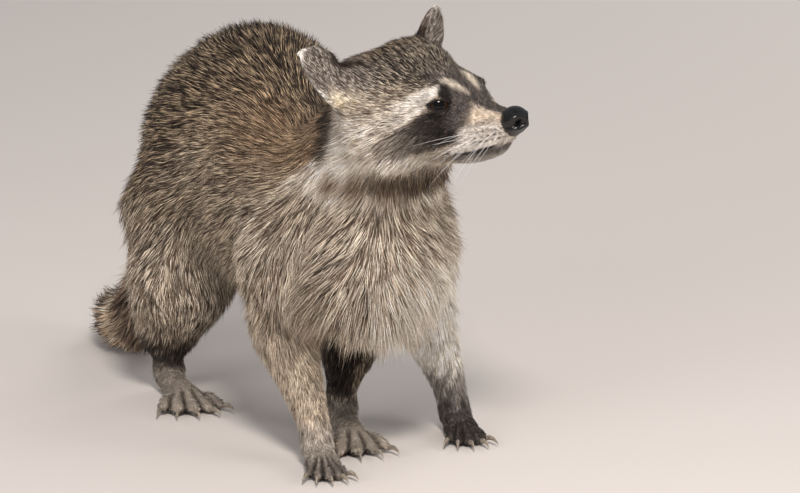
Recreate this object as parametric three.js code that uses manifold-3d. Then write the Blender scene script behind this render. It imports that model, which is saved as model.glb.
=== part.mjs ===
// A raccoon in mid-stride with its head raised and turned to its left: a still, life-size model.
// Millimetres, +X forward, +Y to the animal's left, +Z up, the floor at Z = 0.
// Each part of the body is a closed solid out to the tips of the coat. The shape of a part is a form, a
// function of a point that is below zero inside it, and a capsule or a sphere is moved out to its surface.
import * as THREE from 'three';
import { mergeVertices } from 'three/addons/utils/BufferGeometryUtils.js';
import Module from 'manifold-3d';

const wasm = await Module();
wasm.setup();

const point = (x, y, z) => new THREE.Vector3(x, y, z);
const radians = THREE.MathUtils.degToRad;
const UP = point(0, 0, 1);

// ---------------------------------------------------------------- driving dimensions

const GAP = 0.4; // left between two parts that touch
const BLOCK = 1200; // side of the blocks that cut one part from the next

// Trunk: the shoulders stand over X = 0
const HIP_X = -192; // the hips, behind the shoulders
const CORE_Z = 168; // height of the trunk's middle line
const CHEST_RADIUS = 58;
const RIB_RADIUS = 71;
const LOIN_RADIUS = 80;
const RUMP_SIZE = point(77, 78, 88);
const HIP_Y = -4; // the hips stand a little to the right of the shoulders
const BACK_TOP = 275; // floor to the top of the arched back
const SHOULDER_SIDE = 44; // shoulder blade, out from the middle
const TRUNK_FILLET = 24;

// Neck: from the shoulders to the back of the head
const NECK_START = point(0, 0, 180);
const NECK_END = point(66, 12, 240);
const NECK_RADII = { shoulders: 54, head: 44 };
const NECK_FILLET = 20;

// Head, in its own frame: the tip of the nose at 0, +X out of the nose
const NOSE_TIP = point(153, 68, 256);
const HEAD_YAW = radians(35);
const HEAD_PITCH = radians(-5.5);
const HEAD_ROLL = radians(4);
const HEAD_FILLET = 16;
const EYE_RADIUS = 7.6;
const EYE_PLACE = point(-54, 20.5, 13);
const EYE_LOOK = point(0.62, 0.76, 0.18); // straight out of the left eye
const LID_OPENING = point(7.2, 3.9, 26); // half its width, half its height, how deep it is cut
const NOSE_MIDDLE = point(-10, 0, -2);
const NOSE_SIZE = point(9.5, 9.8, 10);
const NOSTRIL_PLACE = point(-1.5, 5.2, -1.5);
const NOSTRIL_SIZE = point(3.2, 2.2, 2);
const EAR_BASE = point(-107, 47, 29);
const EAR_TIPS = { right: point(-118, 70, 61), left: point(-104, 71, 57) };
const EAR_TURN = { right: 0, left: radians(26) }; // about its own rise, from facing forward
const EAR_WIDTH = 41;
const EAR_THICKNESS = 5;
const EAR_HOLLOW = 7;
const EAR_ROOT = 14; // how far the blade goes on into the coat
const EAR_OUT = point(0.22, 0.83, -0.5); // across the left ear, away from the head
const EAR_NARROWING = 0.16; // how much narrower than its middle the tip is
const MOUTH_CORNER = point(-54, 24, -23);
const LIPS_FRONT = point(-8, 0, -16);
const JAW_ROOM = point(90, 90, 60); // block the lower jaw is cut with

// Legs: joints from the body down to the paw
const FORE_RADII = { top: 38, elbow: 21, wrist: 11.5 };
const HIND_RADII = { top: 56, knee: 36, hock: 12 };
const FORE_PAW = { length: 30, width: 27, height: 15, toe: 22, toeRadius: 4.6 };
const HIND_PAW = { length: 60, width: 27, height: 17, toe: 24, toeRadius: 5 };
const LEG_FILLET = 12;
const PAW_FILLET = 8;
const CLAW_LENGTH = 11;
const CLAW_RADIUS = 1.9;
const CLAW_DROOP = 0.02; // fall of a claw for each millimetre squared of its length
const TOES = 5;
const TOE_SPREAD = radians(26); // of the outer toes, from the middle one
const TOE_SHORTENING = 0.3; // how much shorter the outer toes are

// Tail
const TAIL_LENGTHS = 4;
const TAIL_RADIUS = 29;
const TAIL_ROOT = 0.78; // radius at the root as a share of the full one
const TAIL_END = 0.85; // the same where the end starts to round off
const TAIL_ROUNDING = 0.2; // share of the tail's length over which the end is rounded
const TAIL_FRAMES = 200;

// ---------------------------------------------------------------- materials

const finish = (color, roughness) => new THREE.MeshStandardMaterial({ color, roughness, metalness: 0 });
const COAT = finish(0x6f655a, 0.9);
const PALE_COAT = finish(0xb9ab97, 0.9);
const DARK_COAT = finish(0x3b3632, 0.9);
const NOSE_SKIN = finish(0x16140f, 0.35);
const EYE_SHINE = finish(0x120c08, 0.05);
const HORN = finish(0x8d8072, 0.5);

// ---------------------------------------------------------------- forms

/** An ellipsoid with these half sizes. */
function ball(centre, size) {
  return (p) => {
    const x = (p.x - centre.x) / size.x;
    const y = (p.y - centre.y) / size.y;
    const z = (p.z - centre.z) / size.z;
    const near = Math.hypot(x, y, z);
    const steep = Math.hypot(x / size.x, y / size.y, z / size.z);
    return steep > 0 ? (near * (near - 1)) / steep : -Math.min(size.x, size.y, size.z);
  };
}

/** A round bar from start to end whose radius changes evenly. */
function bar(start, end, startRadius, endRadius) {
  const along = end.clone().sub(start);
  const lengthSquared = along.lengthSq();
  return (p) => {
    const from = p.clone().sub(start);
    const t = THREE.MathUtils.clamp(from.dot(along) / lengthSquared, 0, 1);
    return from.addScaledVector(along, -t).length() - THREE.MathUtils.lerp(startRadius, endRadius, t);
  };
}

/** Several forms run together, with fillets about as wide as softness. */
function blend(softness, ...forms) {
  return (p) => forms.map((form) => form(p)).reduce((a, b) => {
    const near = Math.max(softness - Math.abs(a - b), 0) / softness;
    return Math.min(a, b) - (near * near * softness) / 4;
  });
}

/** The same form on the left and the right. */
function pair(make, softness = 8) {
  return blend(softness, make(1), make(-1));
}

/** How far along a ray a form's surface lies. */
function distanceOut(form, origin, direction, growth) {
  const step = 1.2;
  const at = (t) => form(origin.clone().addScaledVector(direction, t)) - growth;
  let outer = 0;
  let value = at(0);
  if (value > 0) throw new Error('a ray starts outside its form');
  while (value < 0) {
    outer += Math.max(step, -0.6 * value);
    value = at(outer);
  }
  let inner = Math.max(0, outer - 2 * step);
  if (at(inner) > 0) inner = 0;
  for (let i = 0; i < 24; i += 1) {
    const middle = (inner + outer) / 2;
    if (at(middle) < 0) inner = middle;
    else outer = middle;
  }
  return outer;
}

/** A capsule round the line from start to end, moved out to the form's surface. */
function wrap(form, start, end, { sides, steps, caps = 4, growth = 0 }) {
  const capsule = new THREE.CapsuleGeometry(1, start.distanceTo(end), caps, sides, steps);
  const turn = new THREE.Quaternion()
    .setFromUnitVectors(point(0, 1, 0), end.clone().sub(start).normalize());
  const middle = start.clone().lerp(end, 0.5);
  const { position, normal } = capsule.attributes;
  for (let i = 0; i < position.count; i += 1) {
    const direction = new THREE.Vector3().fromBufferAttribute(normal, i).normalize();
    const origin = new THREE.Vector3().fromBufferAttribute(position, i).sub(direction);
    origin.applyQuaternion(turn).add(middle);
    direction.applyQuaternion(turn);
    const out = distanceOut(form, origin, direction, growth);
    position.setXYZ(i, ...origin.addScaledVector(direction, out));
  }
  return solid(capsule);
}

// ---------------------------------------------------------------- solids

/** A closed geometry as a manifold solid. */
function solid(geometry) {
  const bare = geometry.clone();
  bare.deleteAttribute('normal');
  bare.deleteAttribute('uv');
  const merged = mergeVertices(bare, 1e-3);
  const corners = [...merged.index.array];
  const triVerts = [];
  for (let i = 0; i < corners.length; i += 3) {
    const [a, b, c] = corners.slice(i, i + 3);
    if (a !== b && b !== c && c !== a) triVerts.push(a, b, c);
  }
  return new wasm.Manifold(new wasm.Mesh({
    numProp: 3,
    vertProperties: merged.attributes.position.array,
    triVerts: new Uint32Array(triVerts),
  }));
}

/** A manifold solid as a geometry. */
function geometryOf(body) {
  const mesh = body.getMesh();
  const geometry = new THREE.BufferGeometry();
  geometry.setAttribute('position', new THREE.BufferAttribute(mesh.vertProperties, 3));
  geometry.setIndex(new THREE.BufferAttribute(mesh.triVerts, 1));
  geometry.computeVertexNormals();
  return geometry;
}

/** A solid moved by a matrix. */
const moved = (body, matrix) => solid(geometryOf(body).applyMatrix4(matrix));

/** A large block whose one face passes through a point and which lies on the side that outward shows. */
function blockBeyond(place, outward) {
  const turn = new THREE.Quaternion().setFromUnitVectors(point(0, 0, 1), outward.clone().normalize());
  const geometry = new THREE.BoxGeometry(BLOCK, BLOCK, BLOCK).translate(0, 0, BLOCK / 2);
  return solid(geometry.applyQuaternion(turn).translate(place.x, place.y, place.z));
}

/** The half of a solid that lies past a place, less half a gap. */
function beyond(body, place, outward) {
  const face = place.clone().addScaledVector(outward.clone().normalize(), GAP / 2);
  return body.intersect(blockBeyond(face, outward));
}

/** A part as a named mesh. */
function part(name, body, material, parent) {
  const mesh = new THREE.Mesh(geometryOf(body), material);
  mesh.name = name;
  parent.add(mesh);
  return mesh;
}

const raccoon = new THREE.Group();
const FLOOR = blockBeyond(point(0, 0, 0), point(0, 0, -1));

// ---------------------------------------------------------------- trunk

const chestFront = point(26, 0, CORE_Z - 6);
const ribs = point(-70, 0, CORE_Z - 4);
const loin = point(-170, HIP_Y + 1, CORE_Z + 4);

const trunkForm = blend(
  TRUNK_FILLET,
  bar(chestFront, ribs, CHEST_RADIUS, RIB_RADIUS),
  bar(ribs, loin, RIB_RADIUS, LOIN_RADIUS),
  ball(point(HIP_X, HIP_Y, CORE_Z + 2), RUMP_SIZE),
  ball(point(-154, HIP_Y - 2, BACK_TOP - 74), point(80, 53, 67)),
  ball(point(-26, 0, 184), point(52, 46, 42)),
  ball(point(40, 6, 137), point(34, 46, 55)),
  pair((side) => ball(point(-4, side * SHOULDER_SIDE, 146), point(42, 29, 58))),
);

const trunkRays = { sides: 22, steps: 11, caps: 5 };
const trunkSpine = [point(HIP_X, 0, CORE_Z), point(25, 0, CORE_Z - 8)];
const trunk = wrap(trunkForm, ...trunkSpine, trunkRays);
const trunkRoom = wrap(trunkForm, ...trunkSpine, { ...trunkRays, growth: GAP });
part('trunk', trunk, COAT, raccoon);

// ---------------------------------------------------------------- head, in its own frame

const head = new THREE.Group();
head.position.copy(NOSE_TIP);
head.rotation.set(HEAD_ROLL, HEAD_PITCH, HEAD_YAW, 'ZYX');
raccoon.add(head);
head.updateMatrixWorld(true);

/** A place given for the left side of the head, on either side. */
const onSide = (place, side) => point(place.x, side * place.y, place.z);

const headForm = blend(
  HEAD_FILLET,
  bar(point(-17, 0, -3.5), point(-46, 0, -3.5), 10.2, 17.5),
  ball(point(-64, 0, 4), point(27, 26, 22)),
  ball(point(-96, 0, 14), point(40, 42, 34)),
  bar(point(-27, 0, -17.5), point(-78, 0, -20), 6, 18),
  pair((side) => ball(point(-92, side * 30, -8), point(34, 26, 27)), 16),
  pair((side) => ball(point(-107, side * 26, 26), point(25, 23, 20)), 16),
  pair((side) => ball(point(-44, side * 10, -13), point(17, 10, 10)), 8),
  pair((side) => ball(point(-56, side * 16, 16), point(12, 8, 7)), 8),
);

const headRays = { sides: 22, steps: 8, caps: 5 };
const headSpine = [point(-92, 0, 0), point(-26, 0, -9)];
const headGrown = wrap(headForm, ...headSpine, { ...headRays, growth: GAP });

const nosePad = ball(NOSE_MIDDLE, NOSE_SIZE);
const noseSpine = [NOSE_MIDDLE.clone().add(point(-2, 0, 0)), NOSE_MIDDLE.clone().add(point(1, 0, 0))];
const noseRays = { sides: 14, steps: 1, caps: 4 };

/** An ear: a rounded blade, hollowed like a spoon towards the front. */
function ear(name, side) {
  const base = onSide(EAR_BASE, side);
  const rise = onSide(EAR_TIPS[name], side).sub(base);
  const height = rise.length();
  const up = rise.clone().normalize();
  const out = onSide(EAR_OUT, side);
  out.addScaledVector(up, -out.dot(up)).normalize().applyAxisAngle(up, side * EAR_TURN[name]);
  const through = out.clone().cross(up); // out of the ear's front on the left, and of its back on the right
  const blade = new THREE.SphereGeometry(1, 14, 9);
  const { position } = blade.attributes;
  for (let i = 0; i < position.count; i += 1) {
    const w = position.getX(i);
    const h = position.getY(i);
    const d = position.getZ(i);
    const hollow = side * EAR_HOLLOW * (1 - w * w) * (1 - 0.4 * h * h);
    const narrowing = 1 - EAR_NARROWING * h;
    const place = base.clone()
      .addScaledVector(up, (height - EAR_ROOT) / 2 + (h * (height + EAR_ROOT)) / 2)
      .addScaledVector(out, (w * narrowing * EAR_WIDTH) / 2)
      .addScaledVector(through, (d * EAR_THICKNESS) / 2 - hollow);
    position.setXYZ(i, ...place);
  }
  return solid(blade);
}

/** The opening between the lids, from the middle of the eye outwards. */
function lidOpening(side) {
  const outward = onSide(EYE_LOOK, side).normalize();
  const opening = new THREE.SphereGeometry(1, 10, 6).scale(...LID_OPENING);
  const turn = new THREE.Matrix4().lookAt(outward, point(0, 0, 0), point(0.12, 0, 1));
  opening.applyMatrix4(turn);
  const centre = onSide(EYE_PLACE, side).addScaledVector(outward, 4);
  return solid(opening.translate(...centre));
}

const eyeball = (side, radius) => solid(
  new THREE.SphereGeometry(radius, 12, 7).translate(...onSide(EYE_PLACE, side)),
);

/** The room of the lower jaw: what lies under the lips and in front of the corners of the mouth. */
function jawBlock(growth) {
  const slope = Math.atan2(LIPS_FRONT.z - MOUTH_CORNER.z, LIPS_FRONT.x - MOUTH_CORNER.x);
  const geometry = new THREE.BoxGeometry(...JAW_ROOM);
  geometry.translate(JAW_ROOM.x / 2 - growth, 0, growth - JAW_ROOM.z / 2);
  geometry.rotateY(-slope);
  return solid(geometry.translate(MOUTH_CORNER.x, 0, MOUTH_CORNER.z));
}

let skull = wrap(headForm, ...headSpine, headRays);
skull = skull.subtract(wrap(nosePad, ...noseSpine, { ...noseRays, growth: GAP }));
for (const side of [1, -1]) {
  skull = skull.subtract(eyeball(side, EYE_RADIUS + GAP)).subtract(lidOpening(side));
}
const jaw = skull.intersect(jawBlock(0));
skull = skull.subtract(jawBlock(GAP));
part('head', skull, COAT, head);
part('jaw', jaw, PALE_COAT, head);

let nose = wrap(nosePad, ...noseSpine, noseRays);
for (const side of [1, -1]) {
  const middle = onSide(NOSTRIL_PLACE, side);
  const ahead = middle.clone().add(point(0.2, 0, 0));
  const hole = wrap(ball(middle, NOSTRIL_SIZE), middle, ahead, { sides: 8, steps: 1, caps: 2 });
  nose = nose.subtract(hole);
}
part('nose', nose, NOSE_SKIN, head);

const SIDES = [['left', 1], ['right', -1]];
for (const [name, side] of SIDES) {
  part('eye_' + name, eyeball(side, EYE_RADIUS), EYE_SHINE, head);
  part('ear_' + name, ear(name, side).subtract(headGrown), COAT, head);
}

// ---------------------------------------------------------------- neck

const neckForm = blend(
  NECK_FILLET,
  bar(NECK_START, NECK_END, NECK_RADII.shoulders, NECK_RADII.head),
  ball(point(52, 10, 196), point(26, 36, 34)),
);
const neck = wrap(neckForm, NECK_START, NECK_END, { sides: 18, steps: 3, caps: 3 })
  .subtract(trunkRoom)
  .subtract(moved(headGrown, head.matrixWorld));
part('neck', neck, COAT, raccoon);

// ---------------------------------------------------------------- legs

/** The legs: joints from the body down, the coat's radii there, its fringe, and where the paw stands. */
const LEGS = [
  {
    name: 'fore_right',
    joints: [point(-4, -42, 138), point(-13, -41, 86), point(17, -30, 26)],
    radii: [FORE_RADII.top, FORE_RADII.elbow, FORE_RADII.wrist],
    fringe: ball(point(-30, -42, 86), point(18, 20, 26)),
    paw: FORE_PAW,
    heading: radians(-9),
    place: point(19, -29, 0),
  },
  {
    name: 'fore_left',
    joints: [point(-2, 43, 138), point(-22, 63, 88), point(-34, 87, 26)],
    radii: [FORE_RADII.top, FORE_RADII.elbow, FORE_RADII.wrist],
    fringe: ball(point(-32, 58, 88), point(18, 18, 26)),
    paw: FORE_PAW,
    heading: radians(-8),
    place: point(-33, 89, 0),
  },
  {
    name: 'hind_right',
    joints: [point(HIP_X - 6, -45, 128), point(-174, -62, 84), point(-208, -62, 32)],
    radii: [HIND_RADII.top, HIND_RADII.knee, HIND_RADII.hock],
    fringe: bar(point(-186, -67, 78), point(-196, -67, 48), 31, 22),
    paw: HIND_PAW,
    heading: radians(-4),
    place: point(-206, -62, 0),
  },
  {
    name: 'hind_left',
    joints: [point(HIP_X + 12, 44, 128), point(-116, 48, 90), point(-66, 18, 32)],
    radii: [HIND_RADII.top, HIND_RADII.knee, HIND_RADII.hock],
    fringe: bar(point(-112, 47, 80), point(-92, 36, 58), 30, 22),
    paw: HIND_PAW,
    heading: radians(-11),
    place: point(-63, 17, 0),
  },
];

/** A toe that arches from the knuckle to the floor, cut flat where its claw grows. */
function toe(paw, angle, reach) {
  const ahead = point(1, 0, 0).applyAxisAngle(UP, angle);
  const from = point(paw.length - 6, 0, paw.height * 0.45).applyAxisAngle(UP, angle * 0.6);
  const to = from.clone().addScaledVector(ahead, reach);
  to.z = paw.toeRadius - 1;
  const form = bar(from, to, paw.toeRadius + 0.8, paw.toeRadius - 0.6);
  const whole = wrap(form, from, to, { sides: 6, steps: 1, caps: 1 });
  const tip = to.clone().addScaledVector(ahead, paw.toeRadius - 2.2);
  return { body: beyond(whole, tip, ahead.clone().negate()), tip, ahead };
}

/** A claw: a cone that curves down and forward from a toe's tip. */
function claw(tip, ahead) {
  const cone = new THREE.CylinderGeometry(0, CLAW_RADIUS, CLAW_LENGTH, 6, 2);
  cone.translate(0, CLAW_LENGTH / 2, 0);
  const { position } = cone.attributes;
  for (let i = 0; i < position.count; i += 1) {
    const along = position.getY(i);
    const droop = CLAW_DROOP * along * along;
    position.setXYZ(i, along, -position.getX(i) * 0.8, position.getZ(i) - droop);
  }
  cone.rotateZ(Math.atan2(ahead.y, ahead.x));
  const root = tip.clone().addScaledVector(ahead, GAP / 2);
  return solid(cone.translate(root.x, root.y, root.z + 0.8));
}

/** The paw and its claws, in a frame with its heel over the origin and +X towards the toes. */
function addPaw({ name, paw, heading, place, joints, radii }) {
  const group = new THREE.Group();
  group.position.copy(place);
  group.rotation.z = heading;
  raccoon.add(group);
  group.updateMatrixWorld(true);
  const inward = group.matrixWorld.clone().invert();
  const ankle = joints[2].clone().applyMatrix4(inward);
  const shin = joints[2].clone().sub(joints[1]).transformDirection(inward);
  const heel = point(0, 0, 10);
  const form = blend(
    PAW_FILLET,
    bar(heel, point(paw.length - 8, 0, 6.5), 11, paw.height / 2),
    ball(point(paw.length - 10, 0, 6), point(13, paw.width / 2, 8)),
  );
  const pastern = bar(ankle, heel, radii[2], 12);
  const toes = [];
  for (let i = 0; i < TOES; i += 1) {
    const spread = (i - (TOES - 1) / 2) / ((TOES - 1) / 2);
    toes.push(toe(paw, spread * TOE_SPREAD, paw.toe * (1 - TOE_SHORTENING * spread * spread)));
  }
  let body = wrap(form, point(2, 0, 8), point(paw.length - 10, 0, 6), { sides: 8, steps: 2, caps: 2 });
  body = body.add(beyond(wrap(pastern, ankle, heel, { sides: 8, steps: 1, caps: 1 }), ankle, shin));
  for (const { body: one } of toes) body = body.add(one);
  part(name + '_paw', body.subtract(FLOOR), DARK_COAT, group);
  toes.forEach(({ tip, ahead }, i) => {
    part(name + '_claw_' + (i + 1), claw(tip, ahead).subtract(FLOOR), HORN, group);
  });
}

for (const leg of LEGS) {
  const [top, bend, low] = leg.joints;
  const [topRadius, bendRadius, lowRadius] = leg.radii;
  const thigh = bar(top, bend, topRadius, bendRadius);
  const form = blend(LEG_FILLET, thigh, bar(bend, low, bendRadius, lowRadius), leg.fringe);
  const shin = low.clone().sub(bend).normalize();
  const fold = bend.clone().sub(top).normalize().add(shin).normalize();
  const upper = beyond(wrap(form, top, bend, { sides: 14, steps: 3, caps: 3 }), bend, fold.clone().negate());
  const lower = beyond(wrap(form, bend, low, { sides: 14, steps: 4, caps: 3 }), bend, fold);
  part(leg.name + '_upper', upper.subtract(trunkRoom), COAT, raccoon);
  part(
    leg.name + '_lower',
    beyond(lower, low, shin.clone().negate()).subtract(trunkRoom),
    PALE_COAT,
    raccoon,
  );
  addPaw(leg);
}

// ---------------------------------------------------------------- tail

const tailPath = new THREE.CatmullRomCurve3([
  point(-244, -2, 168),
  point(-284, -15, 112),
  point(-293, -38, 60),
  point(-305, -51, 31),
  point(-343, -54, 21),
  point(-386, -48, 21),
]);

/** One length of the tail: a cylinder bent along the tail's path. */
function tailLength(from, to) {
  const steps = 4;
  const tube = new THREE.CylinderGeometry(1, 1, 1, 12, steps);
  const frames = tailPath.computeFrenetFrames(TAIL_FRAMES);
  const straight = 1 - TAIL_ROUNDING;
  const { position } = tube.attributes;
  for (let i = 0; i < position.count; i += 1) {
    const t = THREE.MathUtils.lerp(from, to, position.getY(i) + 0.5);
    const frame = Math.round(t * TAIL_FRAMES);
    const rounded = TAIL_END * Math.sqrt(Math.max(0, 1 - ((t - straight) / TAIL_ROUNDING) ** 2));
    const swelling = TAIL_ROOT + (1 - TAIL_ROOT) * Math.sin(Math.PI * t);
    const radius = TAIL_RADIUS * (t > straight ? rounded : swelling);
    const place = tailPath.getPointAt(t)
      .addScaledVector(frames.binormals[frame], position.getX(i) * radius)
      .addScaledVector(frames.normals[frame], position.getZ(i) * radius);
    position.setXYZ(i, ...place);
  }
  return solid(tube);
}

for (let i = 0; i < TAIL_LENGTHS; i += 1) {
  const share = 1 / TAIL_LENGTHS;
  const inset = 0.0008; // leaves the gap between two lengths
  const body = tailLength(i * share + inset, i === TAIL_LENGTHS - 1 ? 1 : (i + 1) * share - inset);
  part('tail_' + (i + 1), body.subtract(trunkRoom).subtract(FLOOR), i % 2 ? DARK_COAT : COAT, raccoon);
}

// ---------------------------------------------------------------- frame

// The origin is on the floor, under the middle of the whole box.
raccoon.updateMatrixWorld(true);
const middle = new THREE.Box3().setFromObject(raccoon, true).getCenter(new THREE.Vector3());
raccoon.position.set(-middle.x, -middle.y, 0);

const model = new THREE.Group();
model.add(raccoon);

export default model;
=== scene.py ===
"""The raccoon's looks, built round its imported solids: skin, coat, eyes, nose, claws and whiskers.

Shapes are worked out in millimetres in the body's own frame, the one its solids were drawn in: +X
forward, +Y to the animal's left, the floor at Z = 0. The head has a frame of its own: the tip of the
nose at 0, +X out of it.
"""
import math

import bmesh
import bpy
import numpy as np
from mathutils import Matrix, Vector
from mathutils.bvhtree import BVHTree
from mathutils.kdtree import KDTree


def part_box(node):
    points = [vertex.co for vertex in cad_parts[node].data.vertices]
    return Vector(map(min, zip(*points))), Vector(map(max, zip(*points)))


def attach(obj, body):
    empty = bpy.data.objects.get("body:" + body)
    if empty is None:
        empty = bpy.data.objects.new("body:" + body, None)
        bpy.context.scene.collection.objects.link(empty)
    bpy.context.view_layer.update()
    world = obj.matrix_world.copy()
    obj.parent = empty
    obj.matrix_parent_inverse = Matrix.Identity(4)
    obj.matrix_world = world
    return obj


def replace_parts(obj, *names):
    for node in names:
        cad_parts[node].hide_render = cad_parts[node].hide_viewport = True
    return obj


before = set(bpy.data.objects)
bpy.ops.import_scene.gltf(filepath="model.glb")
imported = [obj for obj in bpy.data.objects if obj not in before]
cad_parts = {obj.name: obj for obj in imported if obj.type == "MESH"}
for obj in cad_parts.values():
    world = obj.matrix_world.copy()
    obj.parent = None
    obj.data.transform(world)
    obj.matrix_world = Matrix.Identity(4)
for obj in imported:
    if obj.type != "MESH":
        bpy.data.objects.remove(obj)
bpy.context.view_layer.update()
scene = bpy.context.scene
random = np.random.default_rng(11)

# ---------------------------------------------------------------- the frames

MM = 0.001
NOSE_TIP = np.array((153.0, 68.0, 256.0))
HEAD_YAW, HEAD_PITCH, HEAD_ROLL = math.radians(35), math.radians(-5.5), math.radians(4)
HEAD_TURN = Matrix.Rotation(HEAD_YAW, 3, "Z") @ Matrix.Rotation(HEAD_PITCH, 3, "Y")
HEAD_TURN = np.array(HEAD_TURN @ Matrix.Rotation(HEAD_ROLL, 3, "X"))  # the head's axes as columns
EYE_PLACE = np.array((-54.0, 20.5, 13.0))
EYE_RADIUS = 7.6
NOSE_MIDDLE = np.array((-10.0, 0.0, -2.0))
NOSE_SIZE = np.array((9.6, 9.9, 10.1))
SIDES = {"left": 1.0, "right": -1.0}


def from_head(place):
    return NOSE_TIP + np.asarray(place, float) @ HEAD_TURN.T


def to_head(place):
    return (np.asarray(place, float) - NOSE_TIP) @ HEAD_TURN


def on_side(place, side):
    """A place or a direction of the left side, on the side asked for: 1 is left, -1 is right."""
    return np.array(place) * (1.0, side, 1.0)


# From the body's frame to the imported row's, in millimetres, found from the right eye
eye_low, eye_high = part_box("eye_right")
SHIFT = np.array((eye_low + eye_high) / 2) / MM - from_head(on_side(EYE_PLACE, -1.0))

# ---------------------------------------------------------------- small tools


def unit(vectors):
    length = np.linalg.norm(vectors, axis=-1, keepdims=True)
    return vectors / np.maximum(length, 1e-9)


def step(value, low, high):
    """0 below low, 1 above high, smooth between; falls instead where low is above high."""
    t = np.clip((value - low) / (high - low), 0, 1)
    return t * t * (3 - 2 * t)


def bell(value, width):
    """1 at 0, and near 0 from about twice the width on."""
    return np.exp(-(value / width) ** 2)


def mix(first, second, share):
    share = np.asarray(share)
    if np.ndim(first) > np.ndim(share) or np.ndim(second) > np.ndim(share):
        share = share[..., None]
    return first * (1 - share) + second * share


def off_line(places, start, end, start_radius, end_radius):
    """Distance from a round bar, below zero inside it."""
    start, end = np.asarray(start, float), np.asarray(end, float)
    along = end - start
    t = np.clip((places - start) @ along / (along @ along), 0, 1)
    radius = start_radius + t * (end_radius - start_radius)
    return np.linalg.norm(places - start - t[:, None] * along, axis=1) - radius


def off_path(places, path):
    """Distance from a bar through several (x, y, z, radius) points."""
    pairs = zip(path[:-1], path[1:])
    return np.min([off_line(places, a[:3], b[:3], a[3], b[3]) for a, b in pairs], axis=0)


def of_nearest(pairs):
    """The value that goes with each place's shortest distance, out of pairs of distances and values."""
    best, found = np.inf, 0.0
    for far, value in pairs:
        found = mix(found, value, far < best)
        best = np.minimum(best, far)
    return found


def mirrored(places):
    """Places with both sides laid on the left."""
    return np.stack([places[:, 0], np.abs(places[:, 1]), places[:, 2]], axis=1)


def linear(colour):
    """Screen colours from 0 to 255 as scene-linear ones."""
    c = np.clip(np.asarray(colour, float) / 255, 0, 1)
    return np.where(c <= 0.04045, c / 12.92, ((c + 0.055) / 1.055) ** 2.4)


def quads(rings, sides):
    """The faces between one ring of corners and the next."""
    a = np.arange(rings - 1)[:, None] * sides + np.arange(sides)
    b = np.roll(a, -1, axis=1)
    return np.stack([a, a + sides, b + sides, b], axis=-1).reshape(-1, 4)


def joined(parts):
    """Several shapes' places and faces as one."""
    starts = np.cumsum([0] + [len(places) for places, _ in parts])
    faces = [faces + start for start, (_, faces) in zip(starts, parts)]
    return np.concatenate([places for places, _ in parts]), np.concatenate(faces)


def build_mesh(name, places, faces):
    """A mesh from places in millimetres and an array of faces that all have as many corners."""
    mesh = bpy.data.meshes.new(name)
    mesh.vertices.add(len(places))
    mesh.vertices.foreach_set("co", ((places + SHIFT) * MM).astype(np.float32).ravel())
    mesh.loops.add(faces.size)
    mesh.loops.foreach_set("vertex_index", faces.astype(np.int32).ravel())
    mesh.polygons.add(len(faces))
    mesh.polygons.foreach_set("loop_start", np.arange(0, faces.size, faces.shape[1], dtype=np.int32))
    mesh.update(calc_edges=True)
    mesh.polygons.foreach_set("use_smooth", np.ones(len(faces), bool))
    return mesh


def add_values(mesh, name, values):
    """A value or a colour at each corner, for the material to read."""
    if values.ndim == 1:
        layer, field = mesh.attributes.new(name, "FLOAT", "POINT"), "value"
    else:
        layer, field = mesh.attributes.new(name, "FLOAT_COLOR", "POINT"), "color"
        values = np.column_stack([values, np.ones(len(values))])
    layer.data.foreach_set(field, values.astype(np.float32).ravel())


def add_piece(name, mesh, material):
    piece = bpy.data.objects.new(name, mesh)
    scene.collection.objects.link(piece)
    mesh.materials.append(material)
    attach(piece, "root")
    return piece


def mesh_arrays(mesh):
    """Places in millimetres, and the triangles."""
    places = np.empty(len(mesh.vertices) * 3, np.float32)
    mesh.vertices.foreach_get("co", places)
    mesh.calc_loop_triangles()
    faces = np.empty(len(mesh.loop_triangles) * 3, np.int32)
    mesh.loop_triangles.foreach_get("vertices", faces)
    return places.reshape(-1, 3).astype(float) / MM - SHIFT, faces.reshape(-1, 3)


def editable(mesh):
    body = bmesh.new()
    body.from_mesh(mesh)
    return body


def body_arrays(body):
    """An edited mesh's places in millimetres and its triangles."""
    body.verts.index_update()
    places = np.array([v.co for v in body.verts]) / MM - SHIFT
    faces = np.array([[v.index for v in f.verts] for f in body.faces])
    body.free()
    return places, faces


def across_faces(places, faces):
    """A normal to each triangle, twice as long as its area."""
    a, b, c = (places[faces[:, k]] for k in range(3))
    return np.cross(b - a, c - a)


def vertex_normals(places, faces):
    across = across_faces(places, faces)
    total = np.zeros((len(places), 3))
    for k in range(3):
        for axis in range(3):
            total[:, axis] += np.bincount(faces[:, k], across[:, axis], len(places))
    return unit(total)


class Surface:
    """A mesh of triangles whose values can be smoothed from corner to corner."""

    def __init__(self, places, faces):
        self.places, self.faces = places, faces
        pairs = np.sort(np.concatenate([faces[:, (0, 1)], faces[:, (1, 2)], faces[:, (2, 0)]]), axis=1)
        self.edges = np.unique(pairs, axis=0)
        self.count = len(places)
        self.degree = np.maximum(np.bincount(self.edges.T.ravel(), minlength=self.count), 1)

    def spread(self, values):
        """The mean of each corner's neighbours."""
        a, b = self.edges.T
        columns = [np.bincount(a, column[b], self.count) + np.bincount(b, column[a], self.count)
                   for column in np.atleast_2d(values.T)]
        return (np.stack(columns, axis=1) / self.degree[:, None]).reshape(values.shape)

    def smooth(self, values, rounds, share=0.5):
        for _ in range(rounds):
            values = mix(values, self.spread(values), share)
        return values

    def normals(self, rounds=0):
        """The normal at each corner, evened out by some rounds of smoothing."""
        normals = vertex_normals(self.places, self.faces)
        return unit(self.smooth(normals, rounds)) if rounds else normals


# ---------------------------------------------------------------- camera, floor and light

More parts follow.
